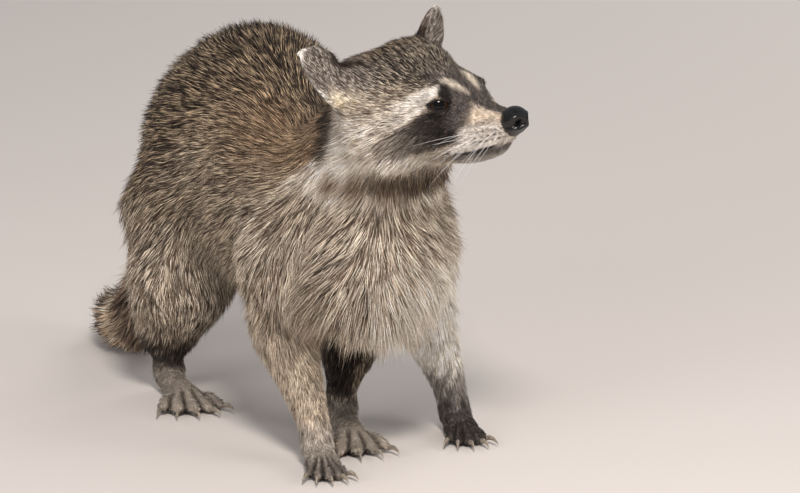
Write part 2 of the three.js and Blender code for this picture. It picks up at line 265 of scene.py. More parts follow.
CAMERA_TURN, CAMERA_RISE = math.radians(70), math.radians(13)
CAMERA_DISTANCE = 3500.0
LENS, SENSOR = 236.0, 36.0
IMAGE_WIDTH, IMAGE_HEIGHT = 800, 493
FORE_PAW_PLACE = np.array((31.0, -30.0, 0.0))  # under the right forepaw
FORE_PAW_PIXEL = (322, 470)  # where the camera sees it
LIT_PLACE = Vector((0.0, 0.0, 0.17))
LIGHTS = {  # place, size, power and colour
    "key": ((1.85, -0.5, 1.75), 0.45, 56, (1.0, 0.935, 0.89)),
    "fill": ((1.7, -2.5, 0.9), 2.0, 44, (0.98, 0.955, 0.99)),
    "side": ((2.2, 1.9, 1.0), 1.6, 36, (1.0, 0.97, 0.95)),
    "rim": ((-1.6, 1.9, 1.6), 1.4, 20, (1.0, 0.96, 0.93)),
}
SKY_COLOUR, SKY_STRENGTH = (0.90, 0.88, 0.92, 1), 0.42
PAPER_COLOUR, PAPER_ROUGHNESS = (206, 200, 194), 0.9
FLOOR_HALF = 12.0


def add_object(name, data):
    thing = bpy.data.objects.new(name, data)
    scene.collection.objects.link(thing)
    return thing


def add_camera():
    data = bpy.data.cameras.new("camera")
    data.lens, data.sensor_width = LENS, SENSOR
    data.clip_start, data.clip_end = 0.1, 50
    camera = add_object("camera", data)
    sine, cosine = math.sin(CAMERA_TURN), math.cos(CAMERA_TURN)
    right = np.array((cosine, sine, 0))
    look = np.array((-sine * math.cos(CAMERA_RISE), cosine * math.cos(CAMERA_RISE), -math.sin(CAMERA_RISE)))
    up = np.cross(right, look)
    focal = LENS / SENSOR * IMAGE_WIDTH
    x = (FORE_PAW_PIXEL[0] - IMAGE_WIDTH / 2) / focal
    y = (IMAGE_HEIGHT / 2 - FORE_PAW_PIXEL[1]) / focal
    place = FORE_PAW_PLACE + SHIFT - CAMERA_DISTANCE * (look + x * right + y * up)
    axes = Matrix([[right[k], up[k], -look[k]] for k in range(3)])
    camera.matrix_world = Matrix.Translation(Vector(place * MM)) @ axes.to_4x4()
    scene.camera = camera


def add_lights():
    for name, (place, size, power, colour) in LIGHTS.items():
        data = bpy.data.lights.new(name, "AREA")
        data.shape, data.size, data.energy, data.color = "DISK", size, power, colour
        light = add_object(name, data)
        light.location = place
        light.rotation_mode = "QUATERNION"
        light.rotation_quaternion = (LIT_PLACE - Vector(place)).to_track_quat("-Z", "Y")
        light.visible_glossy = name == "key"
    scene.world = bpy.data.worlds.new("studio")
    scene.world.use_nodes = True
    sky = scene.world.node_tree.nodes["Background"].inputs
    sky["Color"].default_value, sky["Strength"].default_value = SKY_COLOUR, SKY_STRENGTH
    scene.view_settings.view_transform = "Standard"


def add_floor():
    floor = bpy.data.meshes.new("floor")
    corners = [(FLOOR_HALF * x, FLOOR_HALF * y, 0) for x, y in ((-1, -1), (1, -1), (1, 1), (-1, 1))]
    floor.from_pydata(corners, [], [(0, 1, 2, 3)])
    paper = bpy.data.materials.new("floor_paper")
    paper.use_nodes = True
    shader = paper.node_tree.nodes["Principled BSDF"].inputs
    shader["Base Color"].default_value = (*linear(PAPER_COLOUR), 1)
    shader["Roughness"].default_value = PAPER_ROUGHNESS
    floor.materials.append(paper)
    add_object("floor", floor)


# ---------------------------------------------------------------- where each part of the body is

LEGS = {
    "fore_right": {"joints": ((-4, -42, 138), (-13, -41, 86), (17, -30, 26)), "radii": (38, 21, 11.5),
                   "place": (19, -29), "heading": -9, "length": 30},
    "fore_left": {"joints": ((-2, 43, 138), (-22, 63, 88), (-34, 87, 26)), "radii": (38, 21, 11.5),
                  "place": (-33, 89), "heading": -8, "length": 30},
    "hind_right": {"joints": ((-198, -45, 128), (-174, -62, 84), (-208, -62, 32)), "radii": (56, 36, 12),
                   "place": (-206, -62), "heading": -4, "length": 60},
    "hind_left": {"joints": ((-180, 44, 128), (-116, 48, 90), (-66, 18, 32)), "radii": (56, 36, 12),
                  "place": (-63, 17), "heading": -11, "length": 60},
}
TAIL_PATH = ((-244, -2, 168), (-284, -15, 112), (-293, -38, 60), (-305, -51, 31), (-343, -54, 21),
             (-386, -48, 21))
TAIL_RADIUS = 28
REGION_BARS = {  # the head's are in its own frame
    "trunk": ((26, 0, 162, 58), (-70, 0, 164, 71), (-192, -4, 170, 80)),
    "neck": ((10, 0, 186, 50), (66, 12, 240, 42)),
    "head": ((-96, 0, 8, 42), (-64, 0, 2, 27), (-20, 0, -6, 13)),
    "tail": tuple((*place, TAIL_RADIUS) for place in TAIL_PATH),
}
SKULL_MIDDLE, SKULL_SIZE, SKULL_RADIUS = (-96, 0, 12), (38, 40, 33), 37
EAR_BASE = (-107.0, 47.0, 29.0)
EAR_TIPS = {"right": (-118.0, 70.0, 61.0), "left": (-104.0, 71.0, 57.0)}
EAR_TURN = {"right": 0.0, "left": math.radians(26)}  # about its own rise, from facing forward
EAR_OUT = (0.22, 0.83, -0.5)  # the way its outer edge points
EAR_HALF = 20.5  # half its width
EAR_INSETS, EAR_RADII = (6, 12), (17, 15)  # of the bar that stands for an ear, at its base and its tip
HEEL_HEIGHT, TOES_AHEAD, PAW_RADII = 9.0, 18, (11, 9)
REGION_SOFTNESS = 7.0
# Of each region's coat: its depth over the skin and its length, how many tufts on a square millimetre
# and how wide, how freely they stand, how firmly they gather in locks, how far strays stick out and how
# far the lie wanders
REGION_COATS = {
    "trunk": (12, 12.5, 0.76, 0.43, 0.15, 0.3, 0.3, 0.3),
    "neck": (11, 20, 1.0, 0.44, 0.26, 0.42, 0.4, 0.46),
    "head": (1.3, 2.8, 2.25, 0.41, 0.12, 0.12, 0.06, 0.1),
    "fore_upper": (8.5, 19, 0.72, 0.48, 0.34, 0.5, 0.3, 0.34),
    "fore_lower": (3.6, 9.5, 1.5, 0.42, 0.25, 0.4, 0.15, 0.25),
    "fore_paw": (1.0, 3.0, 1.9, 0.5, 0.05, 0.15, 0.0, 0.1),
    "hind_upper": (10, 19, 0.52, 0.52, 0.36, 0.5, 0.3, 0.34),
    "hind_lower": (3.4, 11, 0.9, 0.48, 0.3, 0.45, 0.15, 0.25),
    "hind_paw": (1.0, 3.4, 1.1, 0.5, 0.05, 0.15, 0.0, 0.1),
    "tail": (14, 24, 0.58, 0.95, 0.3, 0.45, 0.3, 0.2),
    "ear": (-0.4, 6.0, 2.6, 0.45, 0.2, 0.3, 0.1, 0.15),
}
REGIONS = tuple(REGION_COATS)
COLUMNS = [dict(zip(REGIONS, column)) for column in zip(*REGION_COATS.values())]
DEPTH, LENGTH, DENSITY, WIDTH, FREE, LOCKS, STRAY, DRIFT = COLUMNS


def leg_bars(leg):
    """(start, end, start radius, end radius) of the upper leg, the lower leg and the paw."""
    top, bend, low = (np.array(j, float) for j in leg["joints"])
    a, b, c = leg["radii"]
    heading = math.radians(leg["heading"])
    ahead = np.array((math.cos(heading), math.sin(heading), 0))
    heel = np.array((*leg["place"], HEEL_HEIGHT))
    toes = heel + ahead * (leg["length"] + TOES_AHEAD)
    return (top, bend, a, b), (bend, low, b, c), (heel, toes, *PAW_RADII)


def ear_axes(name):
    """An ear's base, its up and out directions and its height, in the body's frame."""
    side = SIDES[name]
    base, tip = from_head(on_side(EAR_BASE, side)), from_head(on_side(EAR_TIPS[name], side))
    up = unit(tip - base)
    out = HEAD_TURN @ on_side(EAR_OUT, side)
    out = unit(out - up * (out @ up))
    out = np.array(Matrix.Rotation(side * EAR_TURN[name], 3, Vector(up))) @ out
    return base, up, out, np.linalg.norm(tip - base)


def region_distances(places):
    """For each region, how far each place is from its bars, below zero inside."""
    head = to_head(places)
    far = {name: [] for name in REGIONS}
    for name, path in REGION_BARS.items():
        far[name].append(off_path(head if name == "head" else places, path))
    for name, leg in LEGS.items():
        for bar, part in zip(leg_bars(leg), ("upper", "lower", "paw")):
            far[f"{name[:4]}_{part}"].append(off_line(places, *bar))
    skull = np.linalg.norm((head - SKULL_MIDDLE) / SKULL_SIZE, axis=1) * SKULL_RADIUS - SKULL_RADIUS
    for name in EAR_TIPS:
        base, up, _, height = ear_axes(name)
        near = off_line(places, base + EAR_INSETS[0] * up, base + up * (height - EAR_INSETS[1]), *EAR_RADII)
        far["ear"].append(np.maximum(near, 5 - 1.5 * skull))
    return np.stack([np.min(far[name], axis=0) for name in REGIONS])


def region_shares(places):
    far = region_distances(places)
    share = np.exp(-(far - far.min(axis=0)) / REGION_SOFTNESS)
    return dict(zip(REGIONS, share / share.sum(axis=0)))


def by_region(shares, values):
    return sum(shares[name] * values[name] for name in REGIONS)


# ---------------------------------------------------------------- the coat's depth and lie

HANGING = (-0.35, 0, -1.0)  # the lie over the rump
NAPE = (-0.75, -0.1, -0.8)
BROW_CENTRE = (34, 0, -4)  # the face's hair runs away from this point, in the head's frame


def coat_depth(places, shares):
    """From the tips of the coat in to the skin."""
    x, _, z = to_head(places).T
    head = DEPTH["head"] + 1.6 * step(x, -45, -75) + 3.2 * step(x, -78, -108)
    head = head + 5.5 * step(x, -62, -96) * step(z, 8, -18)
    return by_region(shares, {**DEPTH, "head": head})


def hem(places):
    """Where the coat hangs from the chest and the belly."""
    return step(places[:, 0], -170, -120) * step(places[:, 2], 152, 122)


def coat_length(places, shares):
    x, _, z = to_head(places).T
    head = LENGTH["head"] + 2.0 * step(x, -40, -70) + 2.6 * step(x, -78, -105)
    head = head + 6.5 * step(x, -58, -92) * step(z, 10, -16)
    chest = step(places[:, 0], -25, 15) * step(places[:, 2], 215, 180)
    trunk = LENGTH["trunk"] + 4.5 * step(places[:, 2], 190, 120) + 8 * chest + 8 * hem(places)
    return by_region(shares, {**LENGTH, "trunk": trunk, "head": head})


def directions(x, y, z):
    """Unit vectors from coordinates of which some are the same for all."""
    return unit(np.stack(np.broadcast_arrays(x, y, z), axis=1))


def trunk_lie(places, normals):
    """Back along the trunk, down over the rump and fanned out over the chest."""
    flank = np.abs(normals[:, 1])
    front = step(places[:, 0], -15, 35) * step(normals[:, 0], -0.3, 0.5)
    rear = step(-normals[:, 0], 0.25, 0.85) * step(-places[:, 0], 190, 230)
    lie = mix(directions(-1, 0, -0.12 - 0.5 * flank), directions(-0.25, places[:, 1] / 44, -1), front)
    return mix(lie, unit(np.array(HANGING)), rear)


def neck_lie(places, normals):
    aside = np.clip(0.016 * (places[:, 1] - 12), -0.6, 0.5)
    nape = np.tile(unit(np.array(NAPE)), (len(places), 1))
    return mix(nape, directions(-0.15, aside, -1), step(normals[:, 0], 0.1, 0.7))


def head_lie(places):
    head = to_head(places)
    cheek = step(head[:, 0], -55, -90) * step(head[:, 2], 15, -20)
    away = unit(head - BROW_CENTRE)
    away[:, 2] -= 0.45 * cheek
    away[:, 2] *= 0.8
    return unit(away) @ HEAD_TURN.T


def ear_lie(places):
    pairs = []
    for name in EAR_TIPS:
        base, up, out, height = ear_axes(name)
        across = (places - base) @ out
        far = np.linalg.norm(places - base - up * height / 2, axis=1)
        pairs.append((far, unit(up + 0.5 * (across / EAR_HALF)[:, None] * out)))
    return of_nearest(pairs)


def tail_lie(places):
    bars = [np.array(pair, float) for pair in zip(TAIL_PATH[:-1], TAIL_PATH[1:])]
    return of_nearest((off_line(places, a, b, TAIL_RADIUS, TAIL_RADIUS), unit(b - a)[None]) for a, b in bars)


def leg_lie(places, part):
    """Down the leg that is nearest, and forward on the paws."""
    droop = (-0.15, 0, -0.5) if part < 2 else (0, 0, -0.3)
    bars = [leg_bars(leg)[part] for leg in LEGS.values()]
    return of_nearest((off_line(places, *bar), unit(unit(bar[1] - bar[0]) + droop)[None]) for bar in bars)


def flattened(vectors, normals):
    """Unit vectors turned to lie along the surface."""
    return unit(vectors - normals * (vectors * normals).sum(axis=1, keepdims=True))


def coat_lie(surface, normals, shares):
    """The way the coat lies over the whole skin, as unit vectors along it."""
    places = surface.places
    upper, lower, paw = (leg_lie(places, part) for part in range(3))
    values = {"trunk": trunk_lie(places, normals), "neck": neck_lie(places, normals),
              "head": head_lie(places), "tail": tail_lie(places), "ear": ear_lie(places),
              "fore_upper": upper, "fore_lower": lower, "fore_paw": paw,
              "hind_upper": upper, "hind_lower": lower, "hind_paw": paw}
    lie = by_region({name: share[:, None] for name, share in shares.items()}, values)
    for _ in range(3):
        lie = flattened(surface.smooth(lie, 4), normals)
    return lie

# ---------------------------------------------------------------- skin

SWELL = 0.45  # closes the gaps between the solids
VOXEL = 2.2
OUTLINE_ROUNDS = 7  # of smoothing
JOINT_ROUNDS = 44  # of smoothing where one part of the body runs into the next
APART = ("claw", "eye_left", "eye_right", "nose")
FLESH = sorted(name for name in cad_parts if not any(word in name for word in APART))


def swollen(name):
    """A CAD node's places and triangles, its faces moved out a little."""
    body = editable(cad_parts[name].data)
    bmesh.ops.remove_doubles(body, verts=body.verts, dist=1e-5)
    bmesh.ops.triangulate(body, faces=body.faces)
    body.normal_update()
    for corner in body.verts:
        corner.co += corner.normal * SWELL * MM
    return body_arrays(body)


def remeshed(places, faces):
    """One closed surface round everything given."""
    mesh = build_mesh("rough", places, faces)
    rough = add_object("rough", mesh)
    modifier = rough.modifiers.new("remesh", "REMESH")
    modifier.mode, modifier.voxel_size = "VOXEL", VOXEL * MM
    whole = bpy.data.meshes.new_from_object(rough.evaluated_get(bpy.context.evaluated_depsgraph_get()))
    surface = Surface(*mesh_arrays(whole))
    bpy.data.objects.remove(rough)
    bpy.data.meshes.remove(mesh)
    bpy.data.meshes.remove(whole)
    return surface


def outline():
    """The surface through the tips of the coat: all solids of flesh, run together."""
    whole = remeshed(*joined([swollen(name) for name in (*FLESH, "eye_left", "eye_right", "nose")]))
    shares = region_shares(whole.places)
    fine = shares["head"] + shares["ear"] + shares["fore_paw"] + shares["hind_paw"]
    whole.places = whole.smooth(whole.places, OUTLINE_ROUNDS, 0.5 * (1 - 0.8 * np.clip(fine, 0, 1)))
    keep = shares["ear"] + shares["fore_paw"] + shares["hind_paw"]
    most = np.max([shares[name] for name in REGIONS], axis=0)
    joint = whole.smooth(np.clip(2.2 * (1 - most), 0, 1) * step(keep, 0.15, 0.03), 3)
    whole.places = whole.smooth(whole.places, JOINT_ROUNDS, 0.5 * joint)
    return whole


def skin_surface(whole):
    depth = whole.smooth(coat_depth(whole.places, region_shares(whole.places)), 12)
    skin = remeshed(whole.places - whole.normals(3) * (depth + SWELL)[:, None], whole.faces)
    skin.places = skin.smooth(skin.places, 2)
    return skin


# ---------------------------------------------------------------- the face's and toes' folds on the skin

EYE_OUT = (0.62, 0.76, 0.18)  # the way the left eye looks
EYE_TOP = np.array((0.12, 0.0, 1.0))
LID_LENGTH, LID_HEIGHT = 6.9, 3.2  # half sizes of the opening between the lids
LID_AHEAD, LID_BELOW = 0.8, 0.5  # how far the opening's middle stands before and below the ball's
LID_POWER = 1.7  # under 2 draws the corners of the eye out to points
LID_THICKNESS = 1.0
LID_REACH, EYE_DEPTH, SOCKET_DEPTH = 24, 14, 2.6
LID_RIM, LID_CREASE = 0.35, 0.5  # heights
LIP_PATH = ((-50, 23.5, -21.5, 0), (-42, 21, -20.5, 0), (-33, 18, -19.2, 0), (-23, 13, -17.2, 0),
            (-14, 7, -16.2, 0), (-9, 0, -15.6, 0))
LIP_GROOVE, UPPER_LIP = 1.3, 0.8  # depth and height
TOE_CLEFTS = tuple(math.radians(turn) for turn in (-19.5, -6.5, 6.5, 19.5))  # between one toe and the next
CLEFT_HALF, CLEFT_DEPTH = 1.5, 2.4


def eye_frame(side):
    """The eye's middle and its front, top and out directions in the body's frame."""
    out = unit(HEAD_TURN @ on_side(EYE_OUT, side))
    front = unit(np.cross(HEAD_TURN @ EYE_TOP, out)) * -side
    return from_head(on_side(EYE_PLACE, side)), front, unit(np.cross(out, front)) * -side, out


def eye_place(places, side):
    """Each place along the eye's length, height and depth, and its share of the way to the lids' edge."""
    centre, front, top, out = eye_frame(side)
    offset = places - centre
    u, v, w = offset @ front, offset @ top, offset @ out
    ahead, above = np.abs((u - LID_AHEAD) / LID_LENGTH), np.abs((v + LID_BELOW) / LID_HEIGHT)
    return u, v, w, (ahead ** LID_POWER + above ** LID_POWER) ** (1 / LID_POWER)


def refined(surface, centre, reach, rounds):
    """The surface with its triangles cut finer round a place."""
    mesh = build_mesh("fine", surface.places, surface.faces)
    body = editable(mesh)
    bpy.data.meshes.remove(mesh)
    middle = Vector((centre + SHIFT) * MM)
    for _ in range(rounds):
        inside = [e for e in body.edges if all((v.co - middle).length < reach * MM for v in e.verts)]
        bmesh.ops.subdivide_edges(body, edges=inside, cuts=1, use_grid_fill=True)
        bmesh.ops.triangulate(body, faces=[f for f in body.faces if len(f.verts) > 3])
    return Surface(*body_arrays(body))


def shape_eye(surface, side):
    """Draws the skin up over the eyeball as lids and sinks it behind the ball between them."""
    u, v, w, edge = eye_place(surface.places, side)
    centre, _, _, out = eye_frame(side)
    near = (np.linalg.norm(surface.places - centre, axis=1) < LID_REACH) & (w > -2)
    spread = u * u + v * v
    lid = np.sqrt(np.maximum((EYE_RADIUS + LID_THICKNESS) ** 2 - spread, 9))
    lid += LID_RIM * bell(edge - 1.12, 0.14) - LID_CREASE * (bell(edge - 1.95, 0.2) * step(v, 0, 3))
    raised = mix(w, lid, 1 - step(edge, 1.5, 2.9))
    sunk = np.sqrt(np.maximum(EYE_RADIUS ** 2 - spread, 4)) - SOCKET_DEPTH
    level = mix(sunk, raised, step(edge, 0.86, 1.0))
    surface.places[near] += ((level - w)[:, None] * out)[near]


def shape_mouth(surface):
    """A groove along the lips, and a fuller upper lip over it."""
    head = mirrored(to_head(surface.places))
    far = off_path(head, LIP_PATH)
    above = head[:, 2] - np.interp(head[:, 0], (-50, -33, -9), (-21.5, -19.2, -15.6))
    full = UPPER_LIP * bell(above - 3.2, 2.4) * step(head[:, 0], -56, -44)
    rise = (-LIP_GROOVE * bell(far, 1.1) + full * (far < 12)) * step(head[:, 0], -60, -50)
    surface.places += surface.normals() * rise[:, None]


def shape_nose(surface):
    """Draws the skin back inside the nose pad, so that nothing of it shows in the nostrils."""
    head = to_head(surface.places)
    share = np.linalg.norm((head - NOSE_MIDDLE) / NOSE_SIZE, axis=1)
    near = step(share, 1.15, 0.95) * step(head[:, 0], -17, -12)
    surface.places += (from_head(NOSE_MIDDLE) - surface.places) * (0.55 * near)[:, None]


def toe_gaps(places):
    """How near each place is to a cleft between two toes, from 0 to 1."""
    gaps = np.zeros(len(places))
    for leg in LEGS.values():
        turn = math.radians(leg["heading"])
        offset = places[:, :2] - leg["place"]
        along = offset @ (math.cos(turn), math.sin(turn))
        across = offset @ (-math.sin(turn), math.cos(turn))
        for cleft in TOE_CLEFTS:
            u = along - (leg["length"] - 6) * math.cos(0.6 * cleft)
            v = across - (leg["length"] - 6) * math.sin(0.6 * cleft)
            ahead = u * math.cos(cleft) + v * math.sin(cleft)
            aside = v * math.cos(cleft) - u * math.sin(cleft)
            near = bell(aside, CLEFT_HALF) * step(ahead, -6, 3) * step(ahead, 36, 32)
            gaps = np.maximum(gaps, near * step(places[:, 2], 30, 22))
    return gaps


def faced(surface):
    """The skin with clefts between its toes and folds in its face, cut finer where they are."""
    for leg in LEGS.values():
        heel, toes = leg_bars(leg)[2][:2]
        surface = refined(surface, toes - 8 * unit(toes - heel), 20, 1)
    surface.places -= surface.normals(2) * (CLEFT_DEPTH * toe_gaps(surface.places))[:, None]
    for side in (-1, 1):
        centre, _, _, out = eye_frame(side)
        surface = refined(surface, centre + 5 * out, 16, 2)
    surface = refined(surface, from_head((-24, 0, -12)), 24, 1)
    shape_mouth(surface)
    shape_nose(surface)
    for side in (-1, 1):
        shape_eye(surface, side)
    return surface


# ---------------------------------------------------------------- markings

# Ground colour of the hair, of its pale ticks and of its dark ones, shares of pale and of dark tufts, and how
# dark the tips are
COATS = {
    "back": ((78, 64, 54), (192, 170, 138), (24, 20, 20), 0.40, 0.42, 0.75),
    "spine": ((56, 47, 41), (158, 137, 110), (18, 16, 16), 0.28, 0.50, 0.85),
    "dark_toes": ((66, 60, 57), (94, 88, 83), (40, 37, 35), 0.35, 0.25, 0.0),
    "flank": ((108, 92, 77), (216, 198, 170), (38, 32, 29), 0.44, 0.28, 0.5),
    "haunch": ((126, 110, 94), (216, 202, 181), (54, 46, 39), 0.48, 0.20, 0.3),
    "shoulder": ((126, 99, 74), (204, 174, 139), (52, 42, 34), 0.42, 0.24, 0.45),
    "chest": ((132, 114, 96), (228, 216, 197), (78, 66, 56), 0.52, 0.20, 0.0),
    "ruff": ((230, 212, 187), (255, 249, 237), (134, 110, 87), 0.68, 0.10, 0.0),
    "border": ((52, 43, 37), (96, 80, 65), (22, 20, 19), 0.14, 0.55, 0.3),
    "dark_paw": ((140, 132, 125), (172, 164, 157), (92, 85, 80), 0.42, 0.22, 0.1),
    "toes": ((124, 115, 107), (150, 141, 132), (88, 80, 74), 0.35, 0.2, 0.0),
    "leg": ((164, 147, 127), (208, 193, 172), (100, 87, 74), 0.48, 0.18, 0.0),
    "grey_paw": ((170, 159, 147), (204, 194, 182), (124, 113, 103), 0.42, 0.18, 0.0),
    "hind_foot": ((158, 147, 134), (188, 179, 167), (120, 110, 100), 0.40, 0.15, 0.0),
    "dark_leg": ((54, 46, 41), (104, 92, 79), (24, 22, 21), 0.14, 0.50, 0.2),
    "tail_tan": ((204, 178, 147), (240, 224, 200), (118, 99, 81), 0.45, 0.12, 0.15),
    "tail_ring": ((116, 97, 82), (168, 148, 126), (50, 43, 38), 0.26, 0.30, 0.15),
    "crown": ((72, 63, 56), (180, 166, 146), (24, 21, 21), 0.38, 0.40, 0.6),
    "temple": ((118, 104, 90), (202, 190, 170), (47, 41, 37), 0.44, 0.25, 0.3),
    "mask": ((36, 31, 29), (62, 54, 49), (18, 16, 16), 0.15, 0.40, 0.1),
    "mask_front": ((100, 91, 86), (138, 128, 121), (52, 47, 45), 0.32, 0.22, 0.1),
    "white": ((244, 236, 222), (255, 250, 242), (204, 188, 166), 0.50, 0.05, 0.0),
    "muzzle": ((202, 192, 179), (230, 222, 212), (152, 139, 124), 0.50, 0.10, 0.0),
    "inner_brow": ((238, 223, 199), (248, 238, 220), (166, 146, 122), 0.50, 0.08, 0.0),
    "tan": ((214, 195, 172), (236, 222, 203), (174, 150, 122), 0.45, 0.06, 0.0),
    "bridge": ((82, 75, 71), (136, 127, 118), (36, 33, 32), 0.32, 0.34, 0.2),
    "chin": ((106, 99, 94), (146, 138, 132), (64, 59, 56), 0.40, 0.12, 0.0),
    "lip": ((30, 27, 27), (44, 40, 39), (16, 15, 15), 0.10, 0.40, 0.0),
    "throat": ((58, 44, 33), (116, 94, 72), (27, 22, 18), 0.24, 0.38, 0.2),
    "ear": ((97, 88, 80), (174, 164, 153), (54, 47, 42), 0.36, 0.28, 0.0),
    "ear_rim": ((190, 184, 175), (224, 220, 212), (140, 132, 122), 0.50, 0.08, 0.0),
    "ear_pale": ((200, 182, 152), (232, 222, 202), (130, 110, 86), 0.50, 0.08, 0.0),
    "ear_slit": ((46, 34, 28), (80, 62, 50), (22, 18, 16), 0.10, 0.40, 0.0),
}
TAIL_RINGS = (0.13, 0.30, 0.47, 0.64, 0.81, 0.98)  # the middles of the dark rings, as shares of the tail
TAIL_RING_HALF = 0.045
DRIFT_WAVES, DRIFT_REACH = 8, 14.0  # how quickly the lie wanders from place to place
EDGE_WOBBLE = 3.0  # how much quicker the edges of the markings wander than the lie of the coat
SHOULDER_BORDER = ((-45, 8, 240, 6), (8, 24, 250, 7), (36, 32, 244, 8.5), (50, 35, 236, 9.5),
                   (50, 37, 226, 7.5), (43, 39, 218, 4))
# Heights, and how far back the ruff goes at each
RUFF_BACK = ((190, 202, 212, 225, 240, 262), (16, 24, 38, 48, 56, 62))
COLLAR = ((54, -37, 198, 2), (68, -30, 197, 4.5), (83, -20, 199, 8), (93, 0, 198, 12), (90, 22, 199, 11),
          (76, 42, 202, 7), (46, 52, 202, 3))
FACE_PATHS = {  # bars in the head's frame, and how far each place is from them
    "from_brow": ((-52, 21, 24, 2.6), (-60, 29, 20, 5.6), (-67, 37.5, 14.5, 7), (-75, 45, 9, 7.5),
                  (-85, 51, 4, 7.5), (-97, 54, 0, 7)),
    "from_inner_brow": ((-52, 11.5, 27.5, 3.6), (-47, 9.5, 24, 3.6), (-41, 7, 19, 2.0)),
    "from_mask": ((-42, 15.6, 11, 6.2), (-44.2, 19, 5, 7.4), (-49, 24, 3, 9.6), (-52, 27, -1, 11.5),
                  (-63, 37, -6, 11.5), (-73, 46, -10, 9.8), (-80, 51, -13, 8.5), (-87, 53, -17, 6)),
    "from_notch": ((-51, 18, 26, 1.8), (-49, 21, 18, 4.5)),
    "from_cheek_band": ((-40, 21, -17, 3), (-52, 29, -20.5, 3.2), (-63, 36, -22.5, 3.2), (-76, 46, -23, 3.5)),
    "from_cheek": ((-94, 50, -17, 5), (-112, 46, -24, 8)),
    "from_lips": LIP_PATH,
}
# Places along the muzzle, and how far out its dark top goes at each
BRIDGE_SIDE = ((-46, -38, -30, -20, -10), (20, 12, 7.5, 5.5, 7))
SPOT_ROWS, SPOT_GAP, SPOT_SIZE = (-5.5, -8.6, -11.7), 3.4, 0.75

# Each marking is a row of COATS, how strongly it is laid over the ones before it, and what bounds it: a
# share, or a measure that brings it in from one number to the other. With a third number, the measure
# takes that share of it away instead.
BODY_MARKS = (
    ("flank", 1),
    ("back", 1, ("rise", 184, 240)),
    ("spine", 0.5, ("z", 246, 272)),
    ("haunch", 1, ("z", 150, 104), ("x", -40, -110)),
    ("chest", 1, ("x", -56, 4), ("z", 206, 158), "near_chest"),
    # Paler fur over the lower chest: partly its own paler colour, partly painted light lifting the hanging
    # hem out of its shade
    ("ruff", 0.7, ("x", -20, 10), ("z", 156, 116), ("y", -24, 20)),
    ("shoulder", 0.85, "shoulder"),
    ("leg", 1, "fore", ("z", 118, 78)),
    ("grey_paw", 1, "fore", ("z", 36, 18)),
    # The left foreleg paler than the right: partly its whiter fur, partly painted light brightening that leg
    ("ruff", 0.95, "fore_left", ("z", 124, 100)),
    ("white", 0.8, "fore_left", ("z", 124, 100)),
    ("dark_paw", 1, "fore_left", ("uneven", 52, 34)),
    ("toes", 0.8, "fore_paw", ("z", 13, 7)),
    ("dark_toes", 0.9, "fore_left", ("uneven", 26, 14)),
    ("dark_leg", 1, "hind", ("uneven", 48, 30), ("x", -40, -120)),
    # Painted shade: the inner side of the left hind leg, under the belly, darkened
    ("dark_leg", 1, "hind", ("z", 112, 84), ("x", -160, -120), "inner_thigh"),
    ("hind_foot", 1, "hind_paw", ("z", 34, 20)),
    # Painted shade in the clefts between the toes
    ("dark_leg", 0.6, "clefts"),
    ("tail_tan", 1, "tail"),
    ("tail_ring", 1, "tail", ("from_ring", TAIL_RING_HALF + 0.02, TAIL_RING_HALF - 0.02)),
    ("shoulder", 1, "neck_and_throat", ("z", 196, 212)),
    ("ruff", 1, "pale_neck"),
    ("white", 0.45, "pale_neck"),
    ("back", 1, "neck_and_throat", ("z", 246, 258), ("x", 80, 60)),
    ("border", 0.85, ("from_border", 5, -3.5)),
    ("throat", 0.9, ("from_collar", 9, -6)),
)
HEAD_MARKS = (
    ("temple", 1, "head_and_ears"),
    ("crown", 1, "head_and_ears", ("rise", 30, 39)),
    ("crown", 1, "head_and_ears", ("z", 14, 26), ("x", -52, -66), ("y", 34, 26)),
    ("back", 1, "head_and_ears", ("z", 40, 46), ("x", -88, -104)),
    ("ruff", 1, "head_and_ears", ("z", 17, 1), ("x", -82, -98)),
    ("ruff", 0.65, "head_and_ears", ("z", 4, -12), ("x", -66, -84)),
    ("shoulder", 0.4, "head_and_ears", ("from_cheek", 8, -4)),
    ("throat", 1, "head_and_ears", ("z", -28, -36), ("x", -30, -50)),
    ("muzzle", 1, "head", ("x", -46, -38), ("z", 4, -4)),
    ("tan", 1, "head", ("x", -48, -40), ("z", -2, 4)),
    ("bridge", 1, "head", ("x", -72, -56), "muzzle_top", ("z", 0, 5)),
    ("muzzle", 1, "head", ("from_cheek_band", 3, 0)),
    ("white", 1, "head", ("from_brow", 2.5, -1.5), ("x", -65, -80, 0.7)),
    ("inner_brow", 0.9, "head", ("from_inner_brow", 3.4, -2.8)),
    ("mask", 1, "head", "mask", ("x", -66, -80, 0.12)),
    ("mask", 1, "head", ("from_notch", 1.8, -0.8)),
    ("mask_front", 0.85, "head", "mask", ("x", -52, -43), ("z", -8, 4)),
    ("mask", 0.8, "head", "spots"),
    ("chin", 1, "head", ("x", -56, -46), ("under", -16.5, -19)),
    ("white", 0.45, "head", ("x", -56, -46), ("under", -20.5, -24)),
    ("lip", 1, "head", ("from_lips", 2.2, 0.6)),
)
EAR_MARKS = (
    ("ear", 1, "this_ear"),
    ("ear_pale", 1, "this_ear", ("rise", 0.36, 0.1), ("across", -0.1, 0.5)),
    ("ear_rim", 1, "this_ear", ("edge", 0.76, 0.93), ("rise", 0.0, 0.3)),
    ("white", 0.7, "this_ear", ("edge", 0.8, 0.94), ("rise", 0.45, 0.65)),
    ("ear_slit", 0.85, "this_ear", ("slit", 1.0, 0.4)),
)


def laid(rows, fields, marks):
    """A row of COATS for each place, with a table of markings laid over it."""
    for name, strength, *bounds in marks:
        mask = np.full(len(rows), float(strength))
        for bound in bounds:
            if isinstance(bound, str):
                mask = mask * fields[bound]
            else:
                share = step(fields[bound[0]], *bound[1:3])
                mask = mask * (share if len(bound) < 4 else 1 - bound[3] * share)
        rows = mix(rows, np.hstack(COATS[name])[None], np.clip(mask, 0, 1))
    return rows


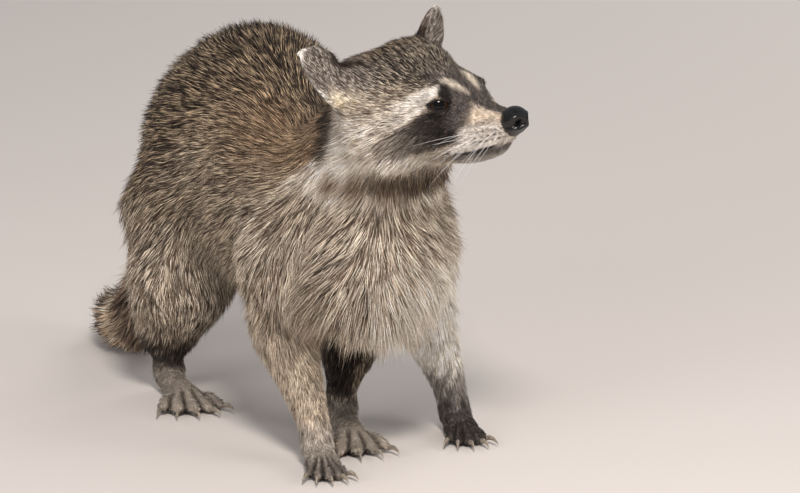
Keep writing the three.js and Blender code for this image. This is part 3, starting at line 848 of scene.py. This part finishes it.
def drift(places):
    """A slow change in the coat's lie, so that no two stretches of it fall quite alike."""
    waves = np.random.default_rng(3)
    total = np.zeros_like(places)
    for _ in range(DRIFT_WAVES):
        pitch = waves.normal(size=3) / DRIFT_REACH
        total += np.sin(places @ pitch + waves.uniform(0, 6.3))[:, None] * waves.normal(size=3)
    return total / DRIFT_WAVES ** 0.5


def tail_share(places):
    """How far along the tail each place is, from 0 to 1."""
    path = np.array(TAIL_PATH, float)
    lengths = np.linalg.norm(np.diff(path, axis=0), axis=1)
    starts = np.concatenate([[0], np.cumsum(lengths)])
    pairs = []
    for k, length in enumerate(lengths):
        along = (path[k + 1] - path[k]) / length
        t = np.clip((places - path[k]) @ along, 0, length)
        far = np.linalg.norm(places - path[k] - t[:, None] * along, axis=1)
        pairs.append((far, (starts[k] + t) / starts[-1]))
    return of_nearest(pairs)


def body_fields(places, shares):
    """The shares and measures that BODY_MARKS reads."""
    x, y, z = places.T
    wobble = drift(EDGE_WOBBLE * places)
    fore = shares["fore_upper"] + shares["fore_lower"] + shares["fore_paw"]
    hind = shares["hind_upper"] + shares["hind_lower"] + shares["hind_paw"]
    neck = np.clip(shares["neck"] + 0.6 * step(x, 30, 60) * step(z, 160, 190), 0, 1)
    behind = np.interp(z, *RUFF_BACK)
    thigh = y - np.interp(z, (32, 90), (18, 48))
    tail = tail_share(places)
    return {
        **shares, "x": x, "y": y, "z": z, "uneven": z + 5 * wobble[:, 2],
        "rise": z + 0.9 * np.maximum(-x - 120, 0),
        "near_chest": 0.7 + 0.3 * step(y, -48, -8),
        "shoulder": np.exp(-((x + 42) / 66) ** 2 - ((z - 222) / 30) ** 2) * step(np.abs(y), 12, 34),
        "fore": fore, "fore_left": fore * step(y, 40, 60) * step(x, -100, -80),
        "hind": hind, "inner_thigh": step(thigh, 9, -3) * step(y, 0, 12),
        "clefts": toe_gaps(places),
        "from_ring": np.min([np.abs(tail - middle) for middle in TAIL_RINGS], axis=0),
        "neck_and_throat": neck,
        "pale_neck": neck * step(z, 174, 198) * step(z, 272, 256) * step(x, behind - 6, behind + 5),
        "from_border": off_path(mirrored(places), SHOULDER_BORDER) + 2 * wobble[:, 0],
        "from_collar": off_path(places, COLLAR) + 2 * wobble[:, 1],
    }


def whisker_spots(head):
    """Rows of small dark spots on the upper lip."""
    spots = np.zeros(len(head))
    for row, level in enumerate(SPOT_ROWS):
        along = (head[:, 0] + row * SPOT_GAP / 3) % SPOT_GAP - SPOT_GAP / 2
        rise = head[:, 2] - level - 0.12 * (head[:, 0] + 24)
        spots = np.maximum(spots, np.exp(-(along ** 2 + rise ** 2) / SPOT_SIZE ** 2))
    return spots * step(head[:, 0], -33, -29) * step(head[:, 0], -10, -13)


def head_fields(places, shares):
    """The shares and measures that HEAD_MARKS reads."""
    head = mirrored(to_head(places))
    x, y, z = head.T
    measures = {name: off_path(head, path) for name, path in FACE_PATHS.items()}
    top = np.interp(x, *BRIDGE_SIDE)
    blur = 1 + 1.2 * step(x, -50, -43)
    return {
        **measures, "x": x, "y": y, "z": z, "rise": z + 0.15 * y, "under": z - 0.12 * (x + 24),
        "head": shares["head"], "head_and_ears": shares["head"] + shares["ear"],
        "muzzle_top": step(y, top + 1.8, top - 1.8), "spots": whisker_spots(head),
        "mask": step(measures["from_mask"] / blur, 2.5, -1.5),
    }


def ear_fields(places, shares, name):
    """The shares and measures that EAR_MARKS reads for one ear."""
    base, up, out, height = ear_axes(name)
    offset = places - base
    rise, across = (offset @ up) / height, (offset @ out) / EAR_HALF
    return {
        "this_ear": shares["ear"] * step(np.linalg.norm(offset - up * height / 2, axis=1), 40, 30),
        "rise": rise, "across": across,
        "edge": np.hypot(across * 1.02, np.maximum(rise - 0.45, 0) / 0.55),
        "slit": np.hypot((across + 0.8) / 0.34, (rise - 0.24) / 0.34),
    }


def markings(places, shares):
    rows = laid(np.zeros((len(places), 12)), body_fields(places, shares), BODY_MARKS)
    rows = laid(rows, head_fields(places, shares), HEAD_MARKS)
    for name in EAR_TIPS:
        rows = laid(rows, ear_fields(places, shares, name), EAR_MARKS)
    return rows


# ---------------------------------------------------------------- materials

TIP_COLOUR, LID_COLOUR = (30, 26, 24), (30, 26, 25)
HORN_COLOURS = (74, 66, 58), (166, 154, 138)
IRIS = ((0.0, (0.002, 0.002, 0.002)), (0.30, (0.002, 0.002, 0.002)), (0.36, (0.020, 0.009, 0.004)),
        (0.62, (0.012, 0.006, 0.003)), (0.72, (0.004, 0.003, 0.003)))  # from the pupil's middle out


class Paint:
    """A material and the few kinds of node that the looks are made of."""

    def __init__(self, name):
        self.material = bpy.data.materials.new(name)
        self.material.use_nodes = True
        self.nodes, self.links = self.material.node_tree.nodes, self.material.node_tree.links
        self.sockets = self.nodes["Principled BSDF"].inputs

    def attribute(self, name, output="Color"):
        node = self.nodes.new("ShaderNodeAttribute")
        node.attribute_name = name
        return node.outputs[output]

    def texture(self, kind, scale):
        """A pattern in the object's own metres."""
        coordinates = self.nodes.new("ShaderNodeTexCoord")
        node = self.nodes.new(kind)
        node.inputs["Scale"].default_value = scale
        self.links.new(coordinates.outputs["Object"], node.inputs["Vector"])
        return node

    def noise(self, scale, *stops, detail=3.0):
        """A noise, or what a ramp with these stops makes of it."""
        node = self.texture("ShaderNodeTexNoise", scale)
        node.inputs["Detail"].default_value = detail
        return self.ramp(node.outputs["Fac"], *stops) if stops else node.outputs["Fac"]

    def ramp(self, source, *stops):
        node = self.nodes.new("ShaderNodeValToRGB")
        self.links.new(source, node.inputs["Fac"])
        while len(node.color_ramp.elements) < len(stops):
            node.color_ramp.elements.new(0.5)
        for element, (position, shade) in zip(node.color_ramp.elements, stops):
            element.position, element.color = position, (*np.broadcast_to(shade, 3), 1)
        return node.outputs["Color"]

    def mix(self, kind, factor, first, second):
        node = self.nodes.new("ShaderNodeMix")
        node.data_type, node.blend_type = "RGBA", kind
        for socket, value in (("Factor", factor), ("A", first), ("B", second)):
            target = next(s for s in node.inputs if s.name == socket and s.enabled)
            if isinstance(value, bpy.types.NodeSocket):
                self.links.new(value, target)
            else:
                target.default_value = value
        return next(s for s in node.outputs if s.enabled)

    def times(self, first, second):
        return self.mix("MULTIPLY", 1.0, first, second)

    def bump(self, height, strength, distance, sunk=False):
        node = self.nodes.new("ShaderNodeBump")
        node.inputs["Strength"].default_value, node.inputs["Distance"].default_value = strength, distance
        node.invert = sunk
        self.links.new(height, node.inputs["Height"])
        self.links.new(node.outputs["Normal"], self.sockets["Normal"])

    def finish(self, colour, roughness, specular=0.5):
        self.links.new(colour, self.sockets["Base Color"])
        self.sockets["Specular IOR Level"].default_value = specular
        if isinstance(roughness, bpy.types.NodeSocket):
            self.links.new(roughness, self.sockets["Roughness"])
        else:
            self.sockets["Roughness"].default_value = roughness
        return self.material


def coat_material():
    """Each tuft goes from a dark root through its lower colour to its upper one; some end in a dark tip. The
    dark at the root is partly the darker underfur and partly painted shade down among the hairs.
    """
    paint = Paint("coat_hair")
    along = paint.attribute("along", "Fac")
    low, high = paint.attribute("low"), paint.attribute("high")
    colour = paint.mix("MIX", paint.ramp(along, (0.36, 0.0), (0.56, 1.0)), low, high)
    # Darker toward the root: partly the darker underfur, partly painted shade down between the tufts
    colour = paint.times(colour, paint.ramp(along, (0.0, 0.26), (0.45, 1.0)))
    end = paint.nodes.new("ShaderNodeMath")
    end.operation = "MULTIPLY"
    paint.links.new(paint.ramp(along, (0.7, 0.0), (0.86, 1.0)), end.inputs[0])
    paint.links.new(paint.attribute("dip", "Fac"), end.inputs[1])
    colour = paint.mix("MIX", end.outputs["Value"], colour, (*linear(TIP_COLOUR), 1))
    colour = paint.times(colour, paint.noise(900, (0.3, 0.82), (0.7, 1.12)))
    return paint.finish(colour, 0.6, 0.22)


def skin_material():
    """Short close fur: the markings, darkened partly as painted shade under the coat, with fine strokes in
    colour and bump.
    """
    paint = Paint("skin_under_coat")
    base, fine = paint.attribute("tone"), paint.noise(1400, detail=4)
    paint.bump(fine, 0.6, 0.0006)
    return paint.finish(paint.times(base, paint.ramp(fine, (0.3, 0.76), (0.7, 1.08))), 0.75, 0.25)


def nose_material():
    """Wet black leather in small cells."""
    paint = Paint("nose_leather")
    paint.bump(paint.texture("ShaderNodeTexVoronoi", 1100).outputs["Distance"], 0.35, 0.0003, sunk=True)
    shade = paint.noise(260, (0.3, 0.002), (0.75, 0.009))
    return paint.finish(shade, paint.noise(180, (0.35, 0.13), (0.7, 0.24)), 0.4)


def eye_material():
    paint = Paint("eye_shine")
    iris = paint.ramp(paint.attribute("ring", "Fac"), *IRIS)
    return paint.finish(paint.times(iris, paint.noise(1500, (0.3, 0.7), (0.7, 1.3))), 0.05, 0.18)


def horn_material():
    paint = Paint("claw_horn")
    return paint.finish(paint.noise(700, *zip((0.3, 0.7), map(linear, HORN_COLOURS))), 0.38)


def whisker_material():
    paint = Paint("whisker")
    return paint.finish(paint.noise(90, (0.3, 0.55), (0.7, 0.8)), 0.35)


# ---------------------------------------------------------------- tufts

HANG = 0.45  # how far the hair under the chest and belly falls, as a share of its length
STRAY_SHARE = 0.2  # of the guard hairs, that stand out from the rest
GUARD_SHARE = 0.4
GUARD_LENGTHS, OTHER_LENGTHS = (0.9, 1.25), (0.55, 0.95)  # as shares of the region's
GUARD_HEIGHTS, OTHER_HEIGHTS = (0.85, 1.12), (0.5, 0.9)  # of the tips, as shares of the coat's depth
CLUMP_SIZE = 14  # tufts that lean together into one lock
LEAST_DEPTH = 0.9  # of the coat over the skin
MOST_TUFTS = 33000  # in one piece
FLOOR_ROOM = 0.3  # nothing comes nearer to the floor
BARE_MIDDLE, BARE_SIZE = (-8, 0, -2), (9.0, 9.3, 9.5)  # the nose pad, where nothing grows
SPIKE_SIDES = 3
SPIKE_CORNERS = SPIKE_SIDES + 2
SPIKE_ALONG = (0.0, 0.5, 0.5, 0.5, 1.0)  # each corner's share of a tuft's length
SPIKE_PATCH = ((0.5, 0), (0, 0.5), (0.5, 0.55), (1, 0.5), (0.5, 1))  # the corners on the flat patch
PATCH = 0.003
PIECE_AXES = {
    "body": ((40, 0, 166), (-220, 0, 170)),
    "neck": ((80, 14, 246), (0, 0, 180)),
    "head": (from_head((0, 0, -4)), from_head((-130, 0, 10))),
    "tail": ((-240, 0, 150), (-400, -45, 20)),
    **{name: (leg["joints"][0], (*leg["place"], 0)) for name, leg in LEGS.items()},
}


def tree_of(places):
    tree = KDTree(len(places))
    for index, place in enumerate(places.tolist()):
        tree.insert(place, index)
    tree.balance()
    return tree


class Skin:
    """The skin with everything that the coat reads from it."""

    def __init__(self, surface, outer):
        self.surface = surface
        self.shares = region_shares(surface.places)
        self.even = surface.normals(6)
        self.lie = coat_lie(surface, self.even, self.shares)
        self.depth = self.depth_to(outer)
        self.tree = tree_of(surface.places)

    def depth_to(self, outer):
        """How far each place lies under the outline of the coat."""
        tree = BVHTree.FromPolygons(outer.places.tolist(), outer.faces.tolist())
        expected = np.maximum(coat_depth(self.surface.places, self.shares), LEAST_DEPTH)
        found = expected.copy()
        for k, (place, normal) in enumerate(zip(self.surface.places, self.even)):
            hit = tree.ray_cast(Vector(place), Vector(normal), 24)
            if hit[0] is not None:
                found[k] = hit[3]
        found = np.clip(found, 0.6 * expected, 1.6 * expected)
        return np.maximum(self.surface.smooth(found, 5), LEAST_DEPTH)

    def nearest(self, places):
        return np.array([self.tree.find(place)[1] for place in places.tolist()])

    def over(self, targets, height):
        """Targets moved to a height over the skin, with the nearest corner to each."""
        near = self.nearest(targets)
        normal = self.even[near]
        above = ((targets - self.surface.places[near]) * normal).sum(axis=1)
        return targets + normal * (height - above)[:, None], near


def near_eye(places, side, low, high, elsewhere):
    """A step of the measure that is 1 at the lids' edge, in front of an eye."""
    _, _, w, edge = eye_place(places, side)
    return np.where((w > 0) & (w < EYE_DEPTH), step(edge, low, high), elsewhere)


def scatter(skin):
    """Roots of tufts over the skin: triangle and corner shares for each."""
    places, faces = skin.surface.places, skin.surface.faces
    head = to_head(places)
    density = by_region(skin.shares, DENSITY)
    density *= 1 + 0.7 * skin.shares["head"] * step(head[:, 0], -84, -56)
    for side in (-1, 1):
        density *= near_eye(places, side, 1.15, 1.35, 1)
    density *= step(np.linalg.norm((head - BARE_MIDDLE) / BARE_SIZE, axis=1), 1.0, 1.12)
    density *= step(places[:, 2], 0.8, 2.0)
    areas = np.linalg.norm(across_faces(places, faces), axis=1) / 2
    weight = areas * density[faces].mean(axis=1)
    count = int(weight.sum())
    picked = np.searchsorted(np.cumsum(weight) / weight.sum(), np.sort(random.random(count)))
    picked = np.minimum(picked, len(faces) - 1)
    corners = random.random((count, 2))
    over = corners.sum(axis=1) > 1
    corners[over] = 1 - corners[over]
    return faces[picked], np.column_stack([1 - corners.sum(axis=1), corners])


def carried(values, faces, corners):
    """Values of the skin's corners at the roots."""
    if values.ndim == 1:
        return (values[faces] * corners).sum(axis=1)
    return (values[faces] * corners[..., None]).sum(axis=1)


def by_guard(guard, long, short):
    """A random draw for each tuft, from one range for guard hairs and another for the rest."""
    count = len(guard)
    return np.where(guard, random.uniform(*long, count), random.uniform(*short, count))


def gather(root, middle, tip, length, hold):
    """Leans neighbouring tufts' tips together, as locks."""
    chosen = random.permutation(len(root))[::CLUMP_SIZE]
    tree = tree_of(root[chosen])
    found = [tree.find(place) for place in root.tolist()]
    leader = chosen[np.array([f[1] for f in found])]
    apart = np.array([f[2] for f in found])
    pull = hold * step(apart / length, 0.5, 0.1)
    tip += (tip[leader] - tip) * pull[:, None]
    middle += (middle[leader] - middle) * 0.4 * pull[:, None]
    return leader


def grow(skin):
    """Every tuft's root, middle and tip, with its normal, width, regions and lock."""
    faces, corners = scatter(skin)
    values = (skin.surface.places, skin.even, skin.lie, skin.depth)
    root, normal, lie, depth = (carried(value, faces, corners) for value in values)
    count, shares, normal = len(root), region_shares(root), unit(normal)
    wander = by_region(shares, DRIFT)[:, None] * drift(root)
    lie = unit(lie + wander + (0.2 + 0.1 * shares["head"])[:, None] * random.normal(size=(count, 3)))
    lie = flattened(lie, normal)
    guard = random.random(count) < GUARD_SHARE
    length = coat_length(root, shares) * by_guard(guard, GUARD_LENGTHS, OTHER_LENGTHS)
    height = depth * by_guard(guard, GUARD_HEIGHTS, OTHER_HEIGHTS)
    chest = step(root[:, 0], -20, 20) * step(root[:, 2], 220, 190) * shares["trunk"]
    hangs = hem(root) * shares["trunk"]
    free = by_region(shares, FREE) + 0.12 * chest + 0.2 * hangs
    free = (free * np.where(guard, 1.35, 0.6))[:, None]

    middle = root + 0.5 * length[:, None] * lie
    settled, near = skin.over(middle, 0.72 * height)
    middle = mix(middle + normal * (0.6 * height)[:, None], settled, 1 - free)
    onward = unit(skin.lie[near] + 0.8 * wander + 0.5 * lie)
    target = middle + 0.5 * length[:, None] * onward
    tip = mix(target + normal * (0.3 * height)[:, None], skin.over(target, height)[0], 1 - free)
    stray = by_region(shares, STRAY) * guard * (random.random(count) < STRAY_SHARE)
    tip = tip + normal * (stray * random.uniform(0.3, 1, count) * length)[:, None]
    middle[:, 2] -= HANG * 0.35 * hangs * length * random.uniform(0.4, 1, count)
    tip[:, 2] -= HANG * hangs * length * random.uniform(0.4, 1, count)
    leader = gather(root, middle, tip, length, by_region(shares, LOCKS) + 0.2 * chest)

    width = by_region(shares, WIDTH) * random.uniform(0.75, 1.2, count) * np.where(guard, 1.0, 0.9)
    width *= (1 - 0.36 * shares["head"] * step(to_head(root)[:, 0], -84, -50)) * (1 - 0.12 * chest)
    for place in (middle, tip):
        place[:, 2] = np.maximum(place[:, 2], FLOOR_ROOM + 0.5 * width)
    return {"root": root - 0.5 * normal, "middle": middle, "tip": tip, "normal": normal, "width": width,
            "shares": shares, "guard": guard, "leader": leader}


def tuft_looks(tufts):
    """A lower and an upper colour for each tuft, and how dark its very tip is."""
    seen = 0.5 * tufts["middle"] + 0.5 * tufts["tip"]
    rows = markings(seen, region_shares(seen))
    ground, pale, dark = rows[:, 0:3], rows[:, 3:6], rows[:, 6:9]
    count, leader = len(rows), tufts["leader"]
    draw = 0.75 * random.random(count) + 0.25 * random.random(count)[leader]
    is_pale, is_dark = (draw < rows[:, 9])[:, None], (draw > 1 - rows[:, 10])[:, None]
    high = np.where(is_pale, pale, np.where(is_dark, dark, ground))
    low = np.where(is_dark, mix(ground, dark, 0.5), mix(ground, pale, 0.2))
    low = np.where(is_pale, mix(ground, dark, 0.35), low)
    shade = (random.uniform(0.88, 1.1, count) * random.uniform(0.8, 1.14, count)[leader])[:, None]
    dip = rows[:, 11] * np.where(tufts["guard"], 1.0, 0.5)
    return {"low": linear(low * shade), "high": linear(high * shade), "dip": dip}


def spikes(tufts, chosen):
    """Places and triangles of closed tufts: a point at the root, one at the tip and corners between."""
    root, middle, tip = (tufts[k][chosen] for k in ("root", "middle", "tip"))
    ahead = unit(tip - root)
    across = unit(np.cross(ahead, tufts["normal"][chosen]))
    rise = unit(np.cross(across, ahead))
    half = 0.5 * tufts["width"][chosen][:, None]
    girth = (middle + half * across, middle + 0.8 * half * rise, middle - half * across)
    places = np.stack([root, *girth, tip], axis=1)
    triangles = []
    for k in range(SPIKE_SIDES):
        a, b = 1 + k, 1 + (k + 1) % SPIKE_SIDES
        triangles += [(0, a, b), (b, a, SPIKE_CORNERS - 1)]
    faces = np.array(triangles)[None] + SPIKE_CORNERS * np.arange(len(root))[:, None, None]
    return places.reshape(-1, 3), faces.reshape(-1, 3)


def unwrap(root, start, end):
    """The skin's own shape laid flat: round and along a region's own line, from 0 to 1."""
    along = unit(end - start)
    side = unit(np.cross(along, (0, 0, 1) if abs(along[2]) < 0.9 else (1, 0, 0)))
    top = np.cross(side, along)
    offset = root - start
    angle = np.arctan2(offset @ side, offset @ top) / (2 * math.pi) + 0.5
    rise = offset @ along
    rise = (rise - rise.min()) / max(np.ptp(rise), 1e-6)
    return np.column_stack([0.005 + 0.985 * angle, 0.005 + 0.985 * rise])


def add_tufts(name, tufts, chosen, looks, axis, material):
    places, faces = spikes(tufts, chosen)
    mesh = build_mesh(name, places, faces)
    for label in ("low", "high"):
        add_values(mesh, label, np.repeat(looks[label][chosen], SPIKE_CORNERS, axis=0))
    add_values(mesh, "along", np.tile(SPIKE_ALONG, len(chosen)))
    add_values(mesh, "dip", np.repeat(looks["dip"][chosen], SPIKE_CORNERS))
    corner = unwrap(tufts["root"][chosen], *axis)
    flat = (corner[:, None] + PATCH * np.array(SPIKE_PATCH)[None]).reshape(-1, 2)
    layer = mesh.uv_layers.new(name="OFBake")
    layer.data.foreach_set("uv", flat[faces.ravel()].astype(np.float32).ravel())
    over = np.repeat(tufts["normal"][chosen], SPIKE_CORNERS, axis=0)
    mesh.normals_split_custom_set_from_vertices(unit(vertex_normals(places, faces) + 1.1 * over).tolist())
    add_piece(name, mesh, material)


def piece_of(tufts):
    """Which group of the coat each tuft belongs to."""
    groups = [{"trunk": "body", "ear": "head"}.get(name, name.split("_")[0]) for name in REGIONS]
    regions = np.stack([tufts["shares"][name] for name in REGIONS]).argmax(axis=0)
    names = np.array(groups, "U12")[regions]
    for kind in ("fore", "hind"):
        bars = ([(*joint, 20) for joint in LEGS[f"{kind}_{side}"]["joints"]] for side in ("right", "left"))
        right, left = (off_path(tufts["root"], bar) for bar in bars)
        legs = names == kind
        names[legs & (right <= left)] = f"{kind}_right"
        names[legs & (right > left)] = f"{kind}_left"
    return names


def add_coat(skin):
    tufts = grow(skin)
    looks = tuft_looks(tufts)
    groups = piece_of(tufts)
    material = coat_material()
    for group, ends in PIECE_AXES.items():
        axis = np.array(ends, float)
        members = np.nonzero(groups == group)[0]
        members = members[np.argsort((tufts["root"][members] - axis[0]) @ (axis[1] - axis[0]), kind="stable")]
        parts = max(1, math.ceil(len(members) / MOST_TUFTS))
        for number, chosen in enumerate(np.array_split(members, parts), 1):
            add_tufts(f"coat_{group}_{number}", tufts, chosen, looks, axis, material)


def add_skin(skin):
    places = skin.surface.places
    mesh = build_mesh("skin", places, skin.surface.faces)
    rows = markings(places, skin.shares)
    # The markings' ground drawn a quarter of the way to their dark tips: partly darker underfur, partly
    # painted shade down under the coat
    tone = linear(mix(rows[:, 0:3], rows[:, 6:9], 0.25))
    bare = np.max([near_eye(places, side, 1.5, 1.25, 0) for side in (-1, 1)], axis=0)
    add_values(mesh, "tone", mix(tone, linear(LID_COLOUR), bare))
    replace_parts(add_piece("skin", mesh, skin_material()), *FLESH)


# ---------------------------------------------------------------- eyes, nose, claws and whiskers

CLAW_RINGS, CLAW_SIDES = 14, 14
CLAW_RADIUS, CLAW_ARCH, CLAW_FLATNESS = 1.95, 1.5, 0.72
NOSTRIL = ((-3, 7, -2.4, 0), (-7, 9.2, -4.6, 0), (-12, 9.6, -4.8, 0))  # the slit that its pit runs out into
WHISKERS = 14  # on each side
WHISKER_RADIUS = 0.17


def grid_ball(rings, sides):
    """Directions over a ball from one pole to the other, and the faces between them."""
    lift = np.linspace(0, math.pi, rings + 1)
    turn = np.arange(sides) * 2 * math.pi / sides
    directions = [np.repeat(np.cos(lift), sides), np.outer(np.sin(lift), np.cos(turn)).ravel(),
                  np.outer(np.sin(lift), np.sin(turn)).ravel()]
    return np.stack(directions, axis=1), quads(rings + 1, sides)


def closed(mesh):
    """The mesh with the corners at its poles joined and any open end filled."""
    body = editable(mesh)
    bmesh.ops.remove_doubles(body, verts=body.verts, dist=1e-7)
    bmesh.ops.holes_fill(body, edges=[e for e in body.edges if e.is_boundary])
    bmesh.ops.recalc_face_normals(body, faces=body.faces)
    body.to_mesh(mesh)
    body.free()
    return mesh


def add_eyes():
    material = eye_material()
    for name, side in SIDES.items():
        centre, front, top, out = eye_frame(side)
        around, faces = grid_ball(48, 64)
        ring = np.arccos(np.clip(around[:, 0], -1, 1)) / (math.pi / 2)
        local = around * (EYE_RADIUS * (1 + 0.035 * step(ring, 0.75, 0.3)))[:, None]
        places = centre + local[:, :1] * out + local[:, 1:2] * front + local[:, 2:] * top
        mesh = build_mesh("eyeball_" + name, places, faces)
        add_values(mesh, "ring", ring)
        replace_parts(add_piece("eyeball_" + name, closed(mesh), material), "eye_" + name)


def add_nose():
    """A leathery pad with comma-shaped nostrils and a groove down its middle."""
    around, faces = grid_ball(110, 150)
    local = unit(np.sign(around) * np.abs(around) ** 0.9)
    low = np.maximum(-local[:, 2], 0)
    local[:, 1] *= 1 + 0.06 * local[:, 2] - 0.3 * low ** 2
    local[:, 0] -= 0.42 * low ** 1.5 * step(local[:, 0], -0.2, 0.6)
    places = NOSE_MIDDLE + local * NOSE_SIZE
    x, side, z = mirrored(places).T
    front = step(x, -12, -6)
    pit = np.exp(-((side - 5.6) / 2.5) ** 2 - ((z + 1.6) / 2.2) ** 2) * front
    slit = bell(off_path(mirrored(places), NOSTRIL), 0.9)
    ridge = bell(np.hypot((side - 5.6) / 1.1, z + 1.6) - 4.3, 1.2) * front
    groove = bell(side, 0.7) * step(z, 2.0, -3.0) * step(x, -14, -8)
    inward = 4.8 * pit + 1.7 * slit + 1.1 * groove - 0.6 * ridge
    places -= unit(places - NOSE_MIDDLE) * inward[:, None]
    mesh = build_mesh("nose_pad", from_head(places), faces)
    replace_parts(add_piece("nose_pad", closed(mesh), nose_material()), "nose")


def claw_shape(node):
    """A curved, side-flattened claw where the CAD one is."""
    corners = np.array([v.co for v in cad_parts[node].data.vertices]) / MM - SHIFT
    middle = corners.mean(axis=0)
    tip = corners[np.argmax(np.linalg.norm(corners - middle, axis=1))]
    along = unit(tip - middle)
    reach = (corners - middle) @ along
    base = corners[reach < reach.min() + 0.8].mean(axis=0)
    side = unit(np.cross(along, (0, 0, 1)))
    rise = np.cross(side, along)
    turn = np.arange(CLAW_SIDES) * 2 * math.pi / CLAW_SIDES
    places = []
    for t in np.linspace(-0.12, 1, CLAW_RINGS):
        radius = CLAW_RADIUS * max(1 - max(t, 0), 0.0) ** 0.7 + 0.05
        centre = base + t * (tip - base) + rise * CLAW_ARCH * 4 * t * (1 - t)
        ring = np.outer(np.cos(turn), side) * CLAW_FLATNESS * radius + np.outer(np.sin(turn), rise) * radius
        places.append(centre + ring)
    return np.concatenate(places), quads(CLAW_RINGS, CLAW_SIDES)


def add_claws():
    material = horn_material()
    for leg in LEGS:
        nodes = sorted(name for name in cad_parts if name.startswith(leg + "_claw"))
        mesh = build_mesh("claws_" + leg, *joined([claw_shape(node) for node in nodes]))
        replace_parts(add_piece("claws_" + leg, closed(mesh), material), *nodes)


def hair_tube(start, ahead, length, droop, steps=9):
    """One long fine hair that droops: places and faces of a three-sided tube."""
    t = np.linspace(0, 1, steps)[:, None]
    line = start + ahead * length * t + np.array((0, 0, -1.0)) * droop * t ** 2
    direction = unit(np.gradient(line, axis=0))
    side = unit(np.cross(direction, (0, 0, 1)))
    rise = np.cross(side, direction)
    size = WHISKER_RADIUS * (1 - 0.9 * t)
    ring = [line + size * (math.cos(a) * side + math.sin(a) * rise) for a in (0, 2.094, 4.189)]
    return np.stack(ring, axis=1).reshape(-1, 3), quads(steps, 3)[:, (0, 3, 2, 1)]


def add_whiskers(skin):
    draw = np.random.default_rng(5)
    hairs = []
    for side in (-1.0, 1.0):
        for k in range(WHISKERS):
            row, column = k % 3, k // 3
            seat = (-33 + 4.2 * column + draw.uniform(-1, 1), 18 - 1.9 * column, SPOT_ROWS[row])
            root = skin.surface.places[skin.nearest(from_head(on_side(seat, side))[None])[0]]
            ahead = np.array((-1.25 + 0.24 * column, side * 0.8, -0.12 - 0.2 * row))
            ahead = ahead + draw.normal(size=3) * 0.16
            length = draw.uniform(24, 58) * (1 - 0.08 * column)
            hairs.append(hair_tube(root, HEAD_TURN @ unit(ahead), length, draw.uniform(3, 12)))
    add_piece("whiskers", build_mesh("whiskers", *joined(hairs)), whisker_material())


# ---------------------------------------------------------------- the whole

add_camera()
add_lights()
add_floor()
outer = outline()
skin = Skin(faced(skin_surface(outer)), outer)
add_skin(skin)
add_coat(skin)
add_eyes()
add_nose()
add_claws()
add_whiskers(skin)
